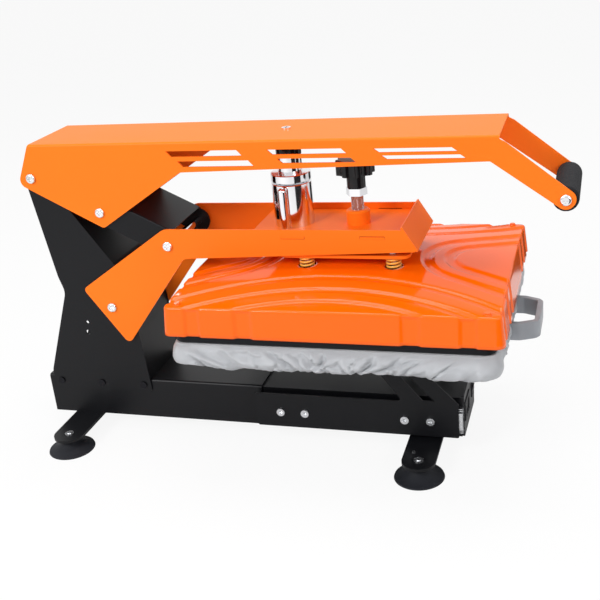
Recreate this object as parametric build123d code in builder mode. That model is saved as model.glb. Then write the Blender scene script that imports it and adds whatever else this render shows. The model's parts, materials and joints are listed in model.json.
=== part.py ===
from build123d import *
import math
import os

os.makedirs("parts", exist_ok=True)

# Flat clamshell heat press with a slide-out lower platen.
# Millimetres. +X points to the operator, +Z up, and the left side is the operator's left, -Y.
# The origin is on the ground under the middle of the press.

# Overall driving dimensions
platen_length = 500.0
platen_width = 400.0
platen_rear_x = -137.5
platen_x = platen_rear_x + platen_length / 2
base_rear_x = -467.0
base_front_x = 290.0
channel_front_x = -53.0
base_half_width = 63.5
base_bottom = 30.0
base_height = 75.0
sheet = 3.0
handle_top = 537.0
stand_clearance = 1.0
arm_clearance = 2.5
link_clearance = 2.5
flat_gap = 0.3
running_fit = 0.06

# Pivots of the toggle linkage, as (x, z)
handle_pivot = (-418.0, 480.0)
handle_link_pivot = (-300.0, 420.0)
arm_link_pivot = (-185.0, 362.5)
arm_pivot = (-307.5, 248.5)
pivot_shaft_r = 7.0
pivot_screw_r = 4.0
pivot_head_r = 8.7
pivot_head_height = 5.0
recess_length = 8.4
recess_width = 2.0
recess_depth = 2.4

# Press axis: electromagnet, pressure screw and springs
magnet_x = 16.5
press_x = 124.5
spring_pitch_x = 142.0
spring_pitch_y = 104.0

base_top = base_bottom + base_height
stand_half_width = base_half_width + sheet
handle_half_width = stand_half_width + stand_clearance + sheet
arm_half_width = stand_half_width + arm_clearance + sheet
platen_bottom = 250.0
cover_bottom = 263.5
platen_plate_thickness = 10.0
pad_thickness = 9.0
cover_cloth = 1.4
platen_plate_bottom = platen_bottom - 2 * flat_gap - cover_cloth - pad_thickness - platen_plate_thickness
trim_corner_r = 2.0


def side_planes(outer, thickness):
    """Sketch planes whose outward extrusion makes the left and the right wall."""
    return {"left": Plane.XZ.offset(outer - thickness), "right": Plane.XZ.offset(-outer)}


def finish(builder, name):
    builder.part.label = name
    export_step(builder.part, "parts/" + name + ".step")


# Base channel: folded sheet, open below and at both ends
with BuildPart() as base_channel:
    channel_length = channel_front_x - base_rear_x
    channel_mid_x = (channel_front_x + base_rear_x) / 2
    bend_r = sheet + 1.5
    with BuildSketch(Plane.XY.offset(base_bottom)):
        with Locations((channel_mid_x, 0)):
            Rectangle(channel_length, 2 * base_half_width)
    extrude(amount=base_height)
    long_edges = base_channel.edges().filter_by(Axis.X).group_by(Axis.Z)[-1]
    fillet(long_edges, radius=bend_r)
    with BuildSketch(Plane.XY.offset(base_bottom)):
        with Locations((channel_mid_x, 0)):
            Rectangle(channel_length, 2 * (base_half_width - sheet))
    extrude(amount=base_height - sheet, mode=Mode.SUBTRACT)
finish(base_channel, "base_channel")

# Front frame: narrower folded sheet that nests in the base channel
frame_rear_x = -150.0
frame_half_width = base_half_width - sheet
frame_top = base_top - sheet
with BuildPart() as front_frame:
    frame_length = base_front_x - frame_rear_x
    frame_mid_x = (base_front_x + frame_rear_x) / 2
    with BuildSketch(Plane.XY.offset(base_bottom)):
        with Locations((frame_mid_x, 0)):
            Rectangle(frame_length, 2 * frame_half_width)
    extrude(amount=frame_top - base_bottom)
    with BuildSketch(Plane.XY.offset(base_bottom)):
        with Locations((frame_mid_x, 0)):
            Rectangle(frame_length, 2 * (frame_half_width - sheet))
    extrude(amount=frame_top - base_bottom - sheet, mode=Mode.SUBTRACT)
finish(front_frame, "front_frame")

# Bottom plate closes the base from below, between the walls, with cooling slots
bottom_plate_thickness = 2.0
vent_x = base_rear_x + 120
vent_count = 5
vent_pitch = 15.0
vent_length = 40.0
vent_width = 5.0
with BuildPart() as bottom_plate:
    plate_rear_x = base_rear_x + sheet
    with BuildSketch(Plane.XY.offset(base_bottom)):
        with Locations(((plate_rear_x + frame_rear_x) / 2, 0)):
            Rectangle(frame_rear_x - plate_rear_x, 2 * (frame_half_width - flat_gap))
        with Locations((frame_mid_x, 0)):
            Rectangle(frame_length, 2 * (frame_half_width - sheet - flat_gap))
        with Locations((vent_x, 0)):
            with GridLocations(vent_pitch, 0, vent_count, 1):
                SlotOverall(vent_length, vent_width, rotation=90, mode=Mode.SUBTRACT)
    extrude(amount=bottom_plate_thickness)
finish(bottom_plate, "bottom_plate")

# Rear panel with the cut-outs for the mains inlet and the fuse
inlet_y = -22.0
inlet_z = base_bottom + 38
inlet_width = 27.0
inlet_height = 20.0
fuse_y = 26.0
fuse_hole_r = 6.0
with BuildPart() as rear_panel:
    with BuildSketch(Plane.YZ.offset(base_rear_x)):
        with Locations((0, (base_bottom + base_top - sheet) / 2)):
            Rectangle(2 * (frame_half_width - flat_gap), base_height - sheet - 2 * flat_gap)
        with Locations((inlet_y, inlet_z)):
            Rectangle(inlet_width, inlet_height, mode=Mode.SUBTRACT)
        with Locations((fuse_y, inlet_z)):
            Circle(fuse_hole_r, mode=Mode.SUBTRACT)
    extrude(amount=sheet)
finish(rear_panel, "rear_panel")

# Control fascia: front panel with the display window and the switch cut-out
fascia_thickness = 4.0
fascia_corner_r = 3.0
fascia_front_x = base_front_x + fascia_thickness
display_y = -28.0
display_z = base_bottom + 42
display_width = 46.0
display_height = 30.0
switch_y = 34.0
switch_z = base_bottom + 40
switch_width = 13.0
switch_height = 19.0
switch_wall = 1.5
panel_gap = 0.2
switch_outer_width = switch_width + 2 * switch_wall
switch_outer_height = switch_height + 2 * switch_wall
with BuildPart() as control_fascia:
    with BuildSketch(Plane.YZ.offset(base_front_x)):
        with Locations((0, base_bottom + base_height / 2)):
            RectangleRounded(2 * frame_half_width, base_height, fascia_corner_r)
        with Locations((display_y, display_z)):
            Rectangle(display_width, display_height, mode=Mode.SUBTRACT)
        with Locations((switch_y, switch_z)):
            Rectangle(
                switch_outer_width + 2 * panel_gap,
                switch_outer_height + 2 * panel_gap,
                mode=Mode.SUBTRACT,
            )
    extrude(amount=fascia_thickness)
finish(control_fascia, "control_fascia")

# Controller module: body behind the display window, bezel in front, and four keys
bezel_border = 2.5
bezel_thickness = 1.5
screen_width = 34.0
screen_height = 18.0
key_r = 1.8
key_pitch = 9.0
key_count = 4
key_travel = 0.7
with BuildPart() as controller:
    module_depth = 34.0
    with BuildSketch(Plane.YZ.offset(base_front_x - module_depth)):
        with Locations((display_y, display_z)):
            Rectangle(display_width - 2 * panel_gap, display_height - 2 * panel_gap)
    extrude(amount=module_depth + fascia_thickness)
    with BuildSketch(Plane.YZ.offset(fascia_front_x)):
        with Locations((display_y, display_z)):
            RectangleRounded(
                display_width + 2 * bezel_border,
                display_height + 2 * bezel_border,
                trim_corner_r,
            )
            Rectangle(screen_width, screen_height, mode=Mode.SUBTRACT)
    extrude(amount=bezel_thickness)
    with BuildSketch(Plane.YZ.offset(fascia_front_x)):
        with Locations((display_y, display_z - (display_height + screen_height) / 4)):
            with GridLocations(key_pitch, 0, key_count, 1):
                Circle(key_r)
    extrude(amount=bezel_thickness + key_travel)
finish(controller, "controller")

# Power switch: open frame in the fascia, and the rocker that tilts in it
switch_depth = 20.0
switch_flange = 2.0
rocker_clearance = 0.5
rocker_pivot_x = base_front_x + 1.0
rocker_edge_r = 0.6
# Side view of the rocker, measured from its pivot
rocker_outline = [(-5.0, -6.5), (4.2, -8.5), (5.2, 0.0), (7.2, 7.4), (-5.0, 6.5)]
with BuildPart() as switch_frame:
    with BuildSketch(Plane.YZ.offset(fascia_front_x)):
        with Locations((switch_y, switch_z)):
            RectangleRounded(
                switch_outer_width + 2 * switch_flange,
                switch_outer_height + 2 * switch_flange,
                trim_corner_r,
            )
    extrude(amount=switch_wall)
    with BuildSketch(Plane.YZ.offset(fascia_front_x - switch_depth)):
        with Locations((switch_y, switch_z)):
            Rectangle(switch_outer_width, switch_outer_height)
    extrude(amount=switch_depth)
    with BuildSketch(Plane.YZ.offset(fascia_front_x - switch_depth + switch_wall)):
        with Locations((switch_y, switch_z)):
            Rectangle(switch_width, switch_height)
    extrude(amount=switch_depth, mode=Mode.SUBTRACT)
finish(switch_frame, "switch_frame")

with BuildPart() as power_rocker:
    rocker_half_width = switch_width / 2 - rocker_clearance
    with BuildSketch(Plane.XZ.offset(-switch_y - rocker_half_width)):
        with BuildLine():
            FilletPolyline(
                *[(rocker_pivot_x + x, switch_z + z) for x, z in rocker_outline],
                radius=rocker_edge_r,
                close=True,
            )
        make_face()
    extrude(amount=2 * rocker_half_width)
finish(power_rocker, "power_rocker")

# Mains inlet: recessed socket body with three flat pins, and its flange
inlet_depth = 22.0
inlet_flange = 2.0
inlet_wall = 2.0
inlet_back = 4.0
inlet_rim_y = 4.0
inlet_rim_z = 3.0
pin_thickness = 2.0
pin_height = 4.0
pin_spots = [(-6, -2), (6, -2), (0, 3)]
pin_length = 10.0
with BuildPart() as power_inlet:
    cavity_depth = inlet_depth + inlet_flange - 2 * inlet_wall - inlet_back
    with BuildSketch(Plane.YZ.offset(base_rear_x + inlet_depth)):
        with Locations((inlet_y, inlet_z)):
            Rectangle(inlet_width - 2 * flat_gap, inlet_height - 2 * flat_gap)
    extrude(amount=-inlet_depth)
    with BuildSketch(Plane.YZ.offset(base_rear_x)):
        with Locations((inlet_y, inlet_z)):
            RectangleRounded(inlet_width + 2 * inlet_rim_y, inlet_height + 2 * inlet_rim_z, trim_corner_r)
    extrude(amount=-inlet_flange)
    with BuildSketch(Plane.YZ.offset(base_rear_x - inlet_flange)):
        with Locations((inlet_y, inlet_z)):
            RectangleRounded(
                inlet_width - 2 * inlet_wall,
                inlet_height - 2 * inlet_wall,
                trim_corner_r,
            )
    extrude(amount=cavity_depth, mode=Mode.SUBTRACT)
    with BuildSketch(Plane.YZ.offset(base_rear_x - inlet_flange + cavity_depth)):
        with Locations(*[(inlet_y + y, inlet_z + z) for y, z in pin_spots]):
            Rectangle(pin_thickness, pin_height)
    extrude(amount=-pin_length)
finish(power_inlet, "power_inlet")

fuse_cap_height = 2.4
fuse_cap_rim = 2.5
fuse_slot_width = 1.6
fuse_slot_length = 9.0
with BuildPart() as fuse_holder:
    fuse_depth = 26.0
    with BuildSketch(Plane.YZ.offset(base_rear_x + fuse_depth)):
        with Locations((fuse_y, inlet_z)):
            Circle(fuse_hole_r - flat_gap)
    extrude(amount=-fuse_depth)
    with BuildSketch(Plane.YZ.offset(base_rear_x)):
        with Locations((fuse_y, inlet_z)):
            Circle(fuse_hole_r + fuse_cap_rim)
            Rectangle(fuse_slot_width, fuse_slot_length, mode=Mode.SUBTRACT)
    extrude(amount=-fuse_cap_height)
finish(fuse_holder, "fuse_holder")

# Electronics inside the base, standing on the bottom plate
inside_floor = base_bottom + bottom_plate_thickness
relay_x = -60.0
relay_length = 58.0
relay_width = 45.0
relay_height = 24.0
terminal_pitch_x = 44.0
terminal_pitch_y = 26.0
terminal_r = 4.0
terminal_height = 3.0
with BuildPart() as solid_state_relay:
    with BuildSketch(Plane.XY.offset(inside_floor)):
        with Locations((relay_x, 0)):
            RectangleRounded(relay_length, relay_width, trim_corner_r)
    extrude(amount=relay_height)
    with BuildSketch(Plane.XY.offset(inside_floor + relay_height)):
        with Locations((relay_x, 0)):
            with GridLocations(terminal_pitch_x, terminal_pitch_y, 2, 2):
                Circle(terminal_r)
    extrude(amount=terminal_height)
finish(solid_state_relay, "solid_state_relay")

supply_x = 60.0
supply_length = 98.0
supply_width = 82.0
supply_height = 36.0
supply_slot_length = 50.0
supply_slot_width = 3.0
supply_slot_depth = 3.0
supply_slot_pitch = 8.0
supply_slot_count = 8
with BuildPart() as power_supply:
    with BuildSketch(Plane.XY.offset(inside_floor)):
        with Locations((supply_x, 0)):
            RectangleRounded(supply_length, supply_width, trim_corner_r)
    extrude(amount=supply_height)
    with BuildSketch(Plane.XY.offset(inside_floor + supply_height)):
        with Locations((supply_x, 0)):
            with GridLocations(supply_slot_pitch, 0, supply_slot_count, 1):
                SlotOverall(supply_slot_length, supply_slot_width, rotation=90)
    extrude(amount=-supply_slot_depth, mode=Mode.SUBTRACT)
finish(power_supply, "power_supply")

# Stand: two hourglass side plates bolted to the outside of the base channel
stand_outline = [
    (-436.0, 497.0),
    (-406.8, 300.8),
    (-398.5, 272.0),
    (-455.5, 117.0),
    (-456.0, 79.5),
    (-261.0, 81.0),
    (-261.2, 92.0),
    (-268.0, 196.0),
    (-277.5, 298.0),
    (-294.8, 328.0),
    (-411.0, 497.0),
]
stand_radii = [10, 30, 30, 20, 8, 8, 4, 60, 20, 20, 10]
stand_bolt_spots = [(-441.5, 95.5), (-359.0, 95.5), (-276.0, 95.5)]
stand_holes = [((-366.0, 215.0), 3.0), ((-368.0, 195.5), 4.5)]
stand_bolt_r = 4.0
stand_head_r = 6.5
stand_head_height = 2.2
for side, plane in side_planes(stand_half_width, sheet).items():
    with BuildPart() as stand_plate:
        with BuildSketch(plane):
            with BuildLine():
                FilletPolyline(*stand_outline, radius=stand_radii, close=True)
            make_face()
            with Locations(handle_pivot, arm_pivot):
                Circle(pivot_shaft_r + running_fit, mode=Mode.SUBTRACT)
            with Locations(*stand_bolt_spots):
                Circle(stand_bolt_r + running_fit, mode=Mode.SUBTRACT)
            for spot, hole_r in stand_holes:
                with Locations(spot):
                    Circle(hole_r, mode=Mode.SUBTRACT)
        extrude(amount=sheet)
    finish(stand_plate, "stand_plate_" + side)

# Front web folded between the stand plates
web_thickness = 2.0
with BuildPart() as stand_web:
    web_foot = (-263.2, base_top + flat_gap)
    web_path = [(-378.0, 446.0), (-295.8, 326.6), (-279.5, 296.5), (-270.0, 196.0), web_foot]
    with BuildSketch(Plane.XZ.offset(-base_half_width)):
        with BuildLine():
            FilletPolyline(*web_path, radius=[12, 12, 40])
        trace(line_width=web_thickness)
    extrude(amount=2 * base_half_width)
finish(stand_web, "stand_web")

# Foot bars across the base, with a suction cup under each end
foot_bar_thickness = 5.0
foot_bar_width = 55.0
foot_y = 142.0
foot_xs = [231.0, -398.0]
cup_r = 41.0
cup_neck_r = 13.0
stud_r = 4.0
stud_washer_r = 8.0
stud_washer_height = 1.2
stud_tip = 1.0
rivet_r = 2.0
rivet_head_r = 3.0
rivet_head_height = 1.2
rivet_dx = -12.0
rivet_inset = 23.0
# Height of the cup's neck, its waist as radius and height, its rim and its hollow
cup_neck_z = 19.0
cup_waist = (23.0, 10.0)
cup_rim_height = 2.5
cup_rim_width = 5.0
cup_hollow_inset = 12.0
cup_hollow_height = 3.0
foot_bar_bottom = base_bottom - foot_bar_thickness
foot_spots = [(x, sign * foot_y) for x in foot_xs for sign in (-1, 1)]
rivet_spots = [(foot_xs[0] + rivet_dx, sign * (foot_y - rivet_inset)) for sign in (-1, 1)]
with BuildPart() as foot_bars:
    with BuildSketch(Plane.XY.offset(foot_bar_bottom)):
        with Locations(*[(x, 0) for x in foot_xs]):
            SlotCenterToCenter(2 * foot_y, foot_bar_width, rotation=90)
        with Locations(*foot_spots):
            Circle(stud_r + running_fit, mode=Mode.SUBTRACT)
        with Locations(*rivet_spots):
            Circle(rivet_r + running_fit, mode=Mode.SUBTRACT)
    extrude(amount=foot_bar_thickness)
finish(foot_bars, "foot_bars")

with BuildPart() as suction_cup:
    with BuildSketch(Plane.XZ):
        with BuildLine():
            Polyline((0, foot_bar_bottom), (cup_neck_r, foot_bar_bottom), (cup_neck_r, cup_neck_z))
            ThreePointArc((cup_neck_r, cup_neck_z), cup_waist, (cup_r - 1, cup_rim_height))
            Polyline(
                (cup_r - 1, cup_rim_height),
                (cup_r, 0),
                (cup_r - cup_rim_width, 0),
                (cup_r - cup_hollow_inset, cup_hollow_height),
                (0, cup_hollow_height),
                (0, foot_bar_bottom),
            )
        make_face()
    revolve(axis=Axis.Z)

with BuildPart() as suction_feet:
    with Locations(*[(x, y, 0) for x, y in foot_spots]):
        add(suction_cup.part)
finish(suction_feet, "suction_feet")

with BuildPart() as foot_studs:
    with BuildSketch(Plane.XY.offset(foot_bar_bottom)):
        with Locations(*foot_spots):
            Circle(stud_r)
    extrude(amount=foot_bar_thickness + stud_washer_height + stud_tip)
    with BuildSketch(Plane.XY.offset(base_bottom)):
        with Locations(*foot_spots):
            Circle(stud_washer_r)
    extrude(amount=stud_washer_height)
    with BuildSketch(Plane.XY.offset(foot_bar_bottom)):
        with Locations(*rivet_spots):
            Circle(rivet_r)
    extrude(amount=foot_bar_thickness)
    with BuildSketch(Plane.XY.offset(base_bottom)):
        with Locations(*rivet_spots):
            Circle(rivet_head_r)
    extrude(amount=rivet_head_height)
finish(foot_studs, "foot_studs")

# Telescopic slides beside the front frame
slide_rear_x = channel_front_x + flat_gap
slide_front_x = 293.0
slide_length = slide_front_x - slide_rear_x
slide_mid_z = base_bottom + 34.5
slide_height = 45.0
slide_depth = 12.7
slide_sheet = 1.5
slide_base_y = frame_half_width
slide_outer_y = slide_base_y + slide_depth


def channel_section(back_y, opening, height, depth, sign):
    """Closed outline of a lipless C channel that opens outward or inward along Y."""
    inner = back_y + opening * slide_sheet
    tip = back_y + opening * depth
    return [
        (sign * back_y, slide_mid_z - height / 2),
        (sign * tip, slide_mid_z - height / 2),
        (sign * tip, slide_mid_z - height / 2 + slide_sheet),
        (sign * inner, slide_mid_z - height / 2 + slide_sheet),
        (sign * inner, slide_mid_z + height / 2 - slide_sheet),
        (sign * tip, slide_mid_z + height / 2 - slide_sheet),
        (sign * tip, slide_mid_z + height / 2),
        (sign * back_y, slide_mid_z + height / 2),
    ]


slide_stages = {
    "slide_outer_members": (slide_base_y, 1, slide_height, 10.5),
    "slide_middle_members": (slide_base_y + 2.2, 1, slide_height - 7.0, 8.0),
    "slide_inner_members": (slide_outer_y, -1, slide_height - 14.0, 8.5),
}
for name, (back_y, opening, height, depth) in slide_stages.items():
    with BuildPart() as slide_member:
        with BuildSketch(Plane.YZ.offset(slide_rear_x)):
            for sign in (-1, 1):
                with BuildLine():
                    Polyline(*channel_section(back_y, opening, height, depth, sign), close=True)
                make_face()
        extrude(amount=slide_length)
    finish(slide_member, name)

# Drawer carriage: side plates on the slides, each rising in a sloped web to the platen
carriage_inner_y = slide_outer_y
carriage_rear_x = -61.0
carriage_front_x = 287.0
carriage_bottom = base_bottom + 5.5
carriage_top = base_top - 7.0
support_rear_x = 20.0
support_front_x = 166.0
carriage_outline = [
    (carriage_rear_x, carriage_bottom),
    (carriage_front_x, carriage_bottom),
    (carriage_front_x, carriage_top),
    (support_front_x, platen_plate_bottom - sheet),
    (support_rear_x, platen_plate_bottom - sheet),
    (support_rear_x, 212.0),
    (112.0, 212.0),
    (196.0, carriage_top),
    (carriage_rear_x, carriage_top),
]
carriage_radii = [3, 3, 3, 4, 3, 3, 10, 4, 3]
window_bottom = carriage_top + 3.0
window_top = 183.0
carriage_window = [(229.0, window_bottom), (249.0, window_bottom), (172.0, window_top), (163.0, window_top)]
carriage_bolt_z = slide_mid_z
carriage_bolt_xs = [-17.0, 26.0, 198.0, 241.0]
carriage_bolt_r = 4.0
carriage_head_r = 7.0
carriage_hex_r = 3.0
carriage_head_height = 4.0
for side, plane in side_planes(carriage_inner_y + sheet, sheet).items():
    with BuildPart() as carriage:
        with BuildSketch(plane):
            with BuildLine():
                FilletPolyline(*carriage_outline, radius=carriage_radii, close=True)
            make_face()
            with BuildLine():
                Polyline(*carriage_window, close=True)
            make_face(mode=Mode.SUBTRACT)
            with Locations(*[(x, carriage_bolt_z) for x in carriage_bolt_xs]):
                Circle(carriage_bolt_r + running_fit, mode=Mode.SUBTRACT)
        extrude(amount=sheet)
    finish(carriage, "carriage_" + side)

with BuildPart() as carriage_bolts:
    for sign in (-1, 1):
        head_plane = Plane.XZ.offset(-sign * (carriage_inner_y + sheet))
        with BuildSketch(head_plane):
            with Locations(*[(x, carriage_bolt_z) for x in carriage_bolt_xs]):
                Circle(carriage_head_r)
                RegularPolygon(carriage_hex_r, 6, mode=Mode.SUBTRACT)
        extrude(amount=-sign * carriage_head_height)
        with BuildSketch(head_plane):
            with Locations(*[(x, carriage_bolt_z) for x in carriage_bolt_xs]):
                Circle(carriage_bolt_r)
        extrude(amount=sign * sheet)
finish(carriage_bolts, "carriage_bolts")

with BuildPart() as platen_support:
    with BuildSketch(Plane.XY.offset(platen_plate_bottom - sheet)):
        with Locations(((support_rear_x + support_front_x) / 2, 0)):
            RectangleRounded(support_front_x - support_rear_x, 2 * (carriage_inner_y + sheet), 6)
    extrude(amount=sheet)
finish(platen_support, "platen_support")

# Lower platen with a front lug for the pull handle
platen_corner_r = 12.0
lower_half_x = platen_length / 2
lower_half_y = platen_width / 2
platen_plate_top = platen_plate_bottom + platen_plate_thickness
pull_bottom = 207.5
pull_height = 29.0
pull_half_width = 52.0
lug_thickness = 10.0
lug_half_width = 70.0
lug_setback = 6.0
lug_front_x = platen_x + lower_half_x - lug_setback
with BuildPart() as lower_platen:
    with BuildSketch(Plane.XY.offset(platen_plate_bottom)):
        with Locations((platen_x, 0)):
            RectangleRounded(platen_length, platen_width, platen_corner_r)
    extrude(amount=platen_plate_thickness)
    with BuildSketch(Plane.XY.offset(platen_plate_bottom)):
        with Locations((lug_front_x - lug_thickness / 2, 0)):
            Rectangle(lug_thickness, 2 * lug_half_width)
    extrude(amount=-(platen_plate_bottom - pull_bottom))
finish(lower_platen, "lower_platen")

pad_top = platen_plate_top + pad_thickness
with BuildPart() as silicone_pad:
    with BuildSketch(Plane.XY.offset(platen_plate_top)):
        with Locations((platen_x, 0)):
            RectangleRounded(platen_length, platen_width, platen_corner_r)
    extrude(amount=pad_thickness)
finish(silicone_pad, "silicone_pad")

# Fabric cover: flat top, and a gathered skirt that swells and draws in at its hem
skirt_bottom = 203.0
skirt_gap = 0.5
skirt_half_x = lower_half_x + skirt_gap + cover_cloth
skirt_half_y = lower_half_y + skirt_gap + cover_cloth
cloth_top = pad_top + flat_gap + cover_cloth
cloth_edge = 4.0
skirt_corner_r = 14.0
fold_counts = [5, 7, 5, 7]
# Each level of the skirt: height, how far it stands out, depth of its folds
skirt_levels = [
    (skirt_bottom, -2.4, 2.4),
    (skirt_bottom + 14, 1.6, 2.0),
    (cloth_top - cloth_edge, 0.0, 0.35),
]


def skirt_outline(half_x, half_y, depth):
    """Rounded rectangle whose sides are folds of the given depth, as alternate arcs."""
    corners = [(1, -1), (1, 1), (-1, 1), (-1, -1)]
    for index, (sx, sy) in enumerate(corners):
        nx, ny = corners[(index + 1) % 4]
        start = (platen_x + sx * half_x, sy * half_y)
        end = (platen_x + nx * half_x, ny * half_y)
        run = math.dist(start, end)
        along = ((end[0] - start[0]) / run, (end[1] - start[1]) / run)
        outward = (along[1], -along[0])
        fold = (run - 2 * skirt_corner_r) / (2 * fold_counts[index])
        for step in range(2 * fold_counts[index]):
            near = skirt_corner_r + step * fold
            bulge = depth if step % 2 == 0 else -depth
            points = []
            for travel, push in ((near, 0), (near + fold / 2, bulge), (near + fold, 0)):
                px = start[0] + along[0] * travel + outward[0] * push
                py = start[1] + along[1] * travel + outward[1] * push
                points.append((px, py))
            ThreePointArc(*points)
        corner_x = platen_x + nx * (half_x - skirt_corner_r)
        corner_y = ny * (half_y - skirt_corner_r)
        turn = math.degrees(math.atan2(outward[1], outward[0]))
        CenterArc((corner_x, corner_y), skirt_corner_r, turn, 90)


pull_bar = 9.0
slot_gap = 1.0
slot_reach = 16.0
cloth_taper = 20.0
with BuildPart() as pad_cover:
    for z, grow, depth in skirt_levels:
        with BuildSketch(Plane.XY.offset(z)):
            with BuildLine():
                skirt_outline(skirt_half_x + grow, skirt_half_y + grow, depth)
            make_face()
    loft(ruled=True)
    with BuildSketch(Plane.XY.offset(cloth_top - cloth_edge)):
        with Locations((platen_x, 0)):
            RectangleRounded(2 * skirt_half_x, 2 * skirt_half_y, skirt_corner_r)
    extrude(amount=cloth_edge, taper=cloth_taper)
    for z, grow, depth in skirt_levels:
        with BuildSketch(Plane.XY.offset(z)):
            with BuildLine():
                skirt_outline(skirt_half_x + grow - cover_cloth, skirt_half_y + grow - cover_cloth, depth)
            make_face()
    loft(ruled=True, mode=Mode.SUBTRACT)
    with BuildSketch(Plane.XY.offset(platen_plate_bottom - flat_gap)):
        with Locations((platen_x, 0)):
            RectangleRounded(platen_length + 2 * skirt_gap, platen_width + 2 * skirt_gap, platen_corner_r)
    extrude(amount=pad_top + 2 * flat_gap - platen_plate_bottom, mode=Mode.SUBTRACT)
    with BuildSketch(Plane.XY.offset(pull_bottom - slot_gap)):
        with Locations(*[(lug_front_x + slot_reach / 2, sign * pull_half_width) for sign in (-1, 1)]):
            Rectangle(slot_reach, pull_bar + 2 * slot_gap)
    extrude(amount=pull_height + 2 * slot_gap, mode=Mode.SUBTRACT)
finish(pad_cover, "pad_cover")

# Pull handle: a bow of tall flat bar, fixed to the lug through slots in the skirt
pull_front_x = lug_front_x + 52.0
pull_straight = 26.0
pull_shoulder = 12.0
pull_points = [
    (lug_front_x, -pull_half_width),
    (lug_front_x + pull_straight, -pull_half_width),
    (pull_front_x, -pull_half_width + pull_shoulder),
    (pull_front_x, pull_half_width - pull_shoulder),
    (lug_front_x + pull_straight, pull_half_width),
    (lug_front_x, pull_half_width),
]
with BuildPart() as pull_handle:
    with BuildSketch(Plane.XY.offset(pull_bottom)):
        with BuildLine():
            FilletPolyline(*pull_points, radius=[14, 12, 12, 14])
        trace(line_width=pull_bar)
    extrude(amount=pull_height)
    chamfer(pull_handle.faces().filter_by(Axis.Z).edges(), length=1)
    with BuildSketch(Plane.XY.offset(platen_plate_bottom - flat_gap)):
        with Locations((platen_x, 0)):
            Rectangle(platen_length + 2 * flat_gap, platen_width)
    extrude(amount=pull_height, mode=Mode.SUBTRACT)
finish(pull_handle, "pull_handle")

# Platen arm: two side plates, a floor plate with tabs, and a slanted front plate
arm_outline = [
    (-357.8, 280.8),
    (-286.7, 178.4),
    (-159.9, 340.4),
    (230.2, 357.9),
    (208.8, 393.0),
    (-189.6, 391.5),
]
arm_radii = [8, 9, 14, 2, 2, 28]
floor_thickness = 4.0
floor_top = 381.5
floor_bottom = floor_top - floor_thickness
floor_rear_x = -43.0
floor_front_x = 215.5
arm_inner_y = arm_half_width - sheet
tab_spots = [32.4, 161.8]
tab_length = 39.0
tab_gap = 0.2
for side, plane in side_planes(arm_half_width, sheet).items():
    with BuildPart() as arm_plate:
        with BuildSketch(plane):
            with BuildLine():
                FilletPolyline(*arm_outline, radius=arm_radii, close=True)
            make_face()
            with Locations(arm_pivot, arm_link_pivot):
                Circle(pivot_shaft_r + running_fit, mode=Mode.SUBTRACT)
            with Locations(*[(x, floor_top - floor_thickness / 2) for x in tab_spots]):
                Rectangle(tab_length + 2 * tab_gap, floor_thickness + 2 * tab_gap, mode=Mode.SUBTRACT)
        extrude(amount=sheet)
    finish(arm_plate, "arm_plate_" + side)

screw_r = 10.0
screw_gap = 1.0
with BuildPart() as arm_floor_plate:
    with BuildSketch(Plane.XY.offset(floor_bottom)):
        with Locations(((floor_rear_x + floor_front_x) / 2, 0)):
            Rectangle(floor_front_x - floor_rear_x, 2 * arm_inner_y)
        with Locations(*[(x, 0) for x in tab_spots]):
            Rectangle(tab_length, 2 * (arm_half_width - 2 * tab_gap))
        with Locations((press_x, 0)):
            Circle(screw_r + screw_gap, mode=Mode.SUBTRACT)
    extrude(amount=floor_thickness)
finish(arm_floor_plate, "arm_floor_plate")

# The front plate lies on the slanted front ends of the arm plates and stands above them
front_plate_rise = 4.0
with BuildPart() as arm_front_plate:
    low, high = Vector(*arm_outline[3]), Vector(*arm_outline[4])
    slope = (high - low).normalized()
    outward = Vector(slope.Y, -slope.X)
    top = high + slope * front_plate_rise
    with BuildSketch(Plane.XZ.offset(-arm_half_width)):
        with BuildLine():
            Polyline(low, low + outward * sheet, top + outward * sheet, top, close=True)
        make_face()
    extrude(amount=2 * arm_half_width)
finish(arm_front_plate, "arm_front_plate")

# Threaded boss welded to the floor plate over the screw hole
boss_r = 19.0
boss_height = 23.0
boss_chamfer = 2.5
with BuildPart() as pressure_boss:
    with BuildSketch(Plane.XY.offset(floor_top)):
        with Locations((press_x, 0)):
            Circle(boss_r)
    extrude(amount=boss_height)
    chamfer(pressure_boss.edges().sort_by(Axis.Z)[-1], length=boss_chamfer)
    with BuildSketch(Plane.XY.offset(floor_top)):
        with Locations((press_x, 0)):
            Circle(screw_r + running_fit)
    extrude(amount=boss_height, mode=Mode.SUBTRACT)
finish(pressure_boss, "pressure_boss")

# Electromagnet on the floor plate, with a potted coil ring in its face, and a side tube
magnet_r = 32.7
magnet_top = 452.0
pole_r = 16.0
coil_ring_r = 27.5
coil_recess = 1.0
magnet_chamfer = 1.2
side_tube_setback = 4.0
side_tube_drop = 1.0
side_tube_tip_r = 1.5
with BuildPart() as magnet_body:
    with BuildSketch(Plane.XY.offset(floor_top)):
        with Locations((magnet_x, 0)):
            Circle(magnet_r)
    extrude(amount=magnet_top - floor_top)
    chamfer(magnet_body.edges().group_by(Axis.Z)[-1], length=magnet_chamfer)
    with BuildSketch(Plane.XY.offset(magnet_top)):
        with Locations((magnet_x, 0)):
            Circle(coil_ring_r)
            Circle(pole_r, mode=Mode.SUBTRACT)
    extrude(amount=-coil_recess, mode=Mode.SUBTRACT)
finish(magnet_body, "magnet_body")

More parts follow.
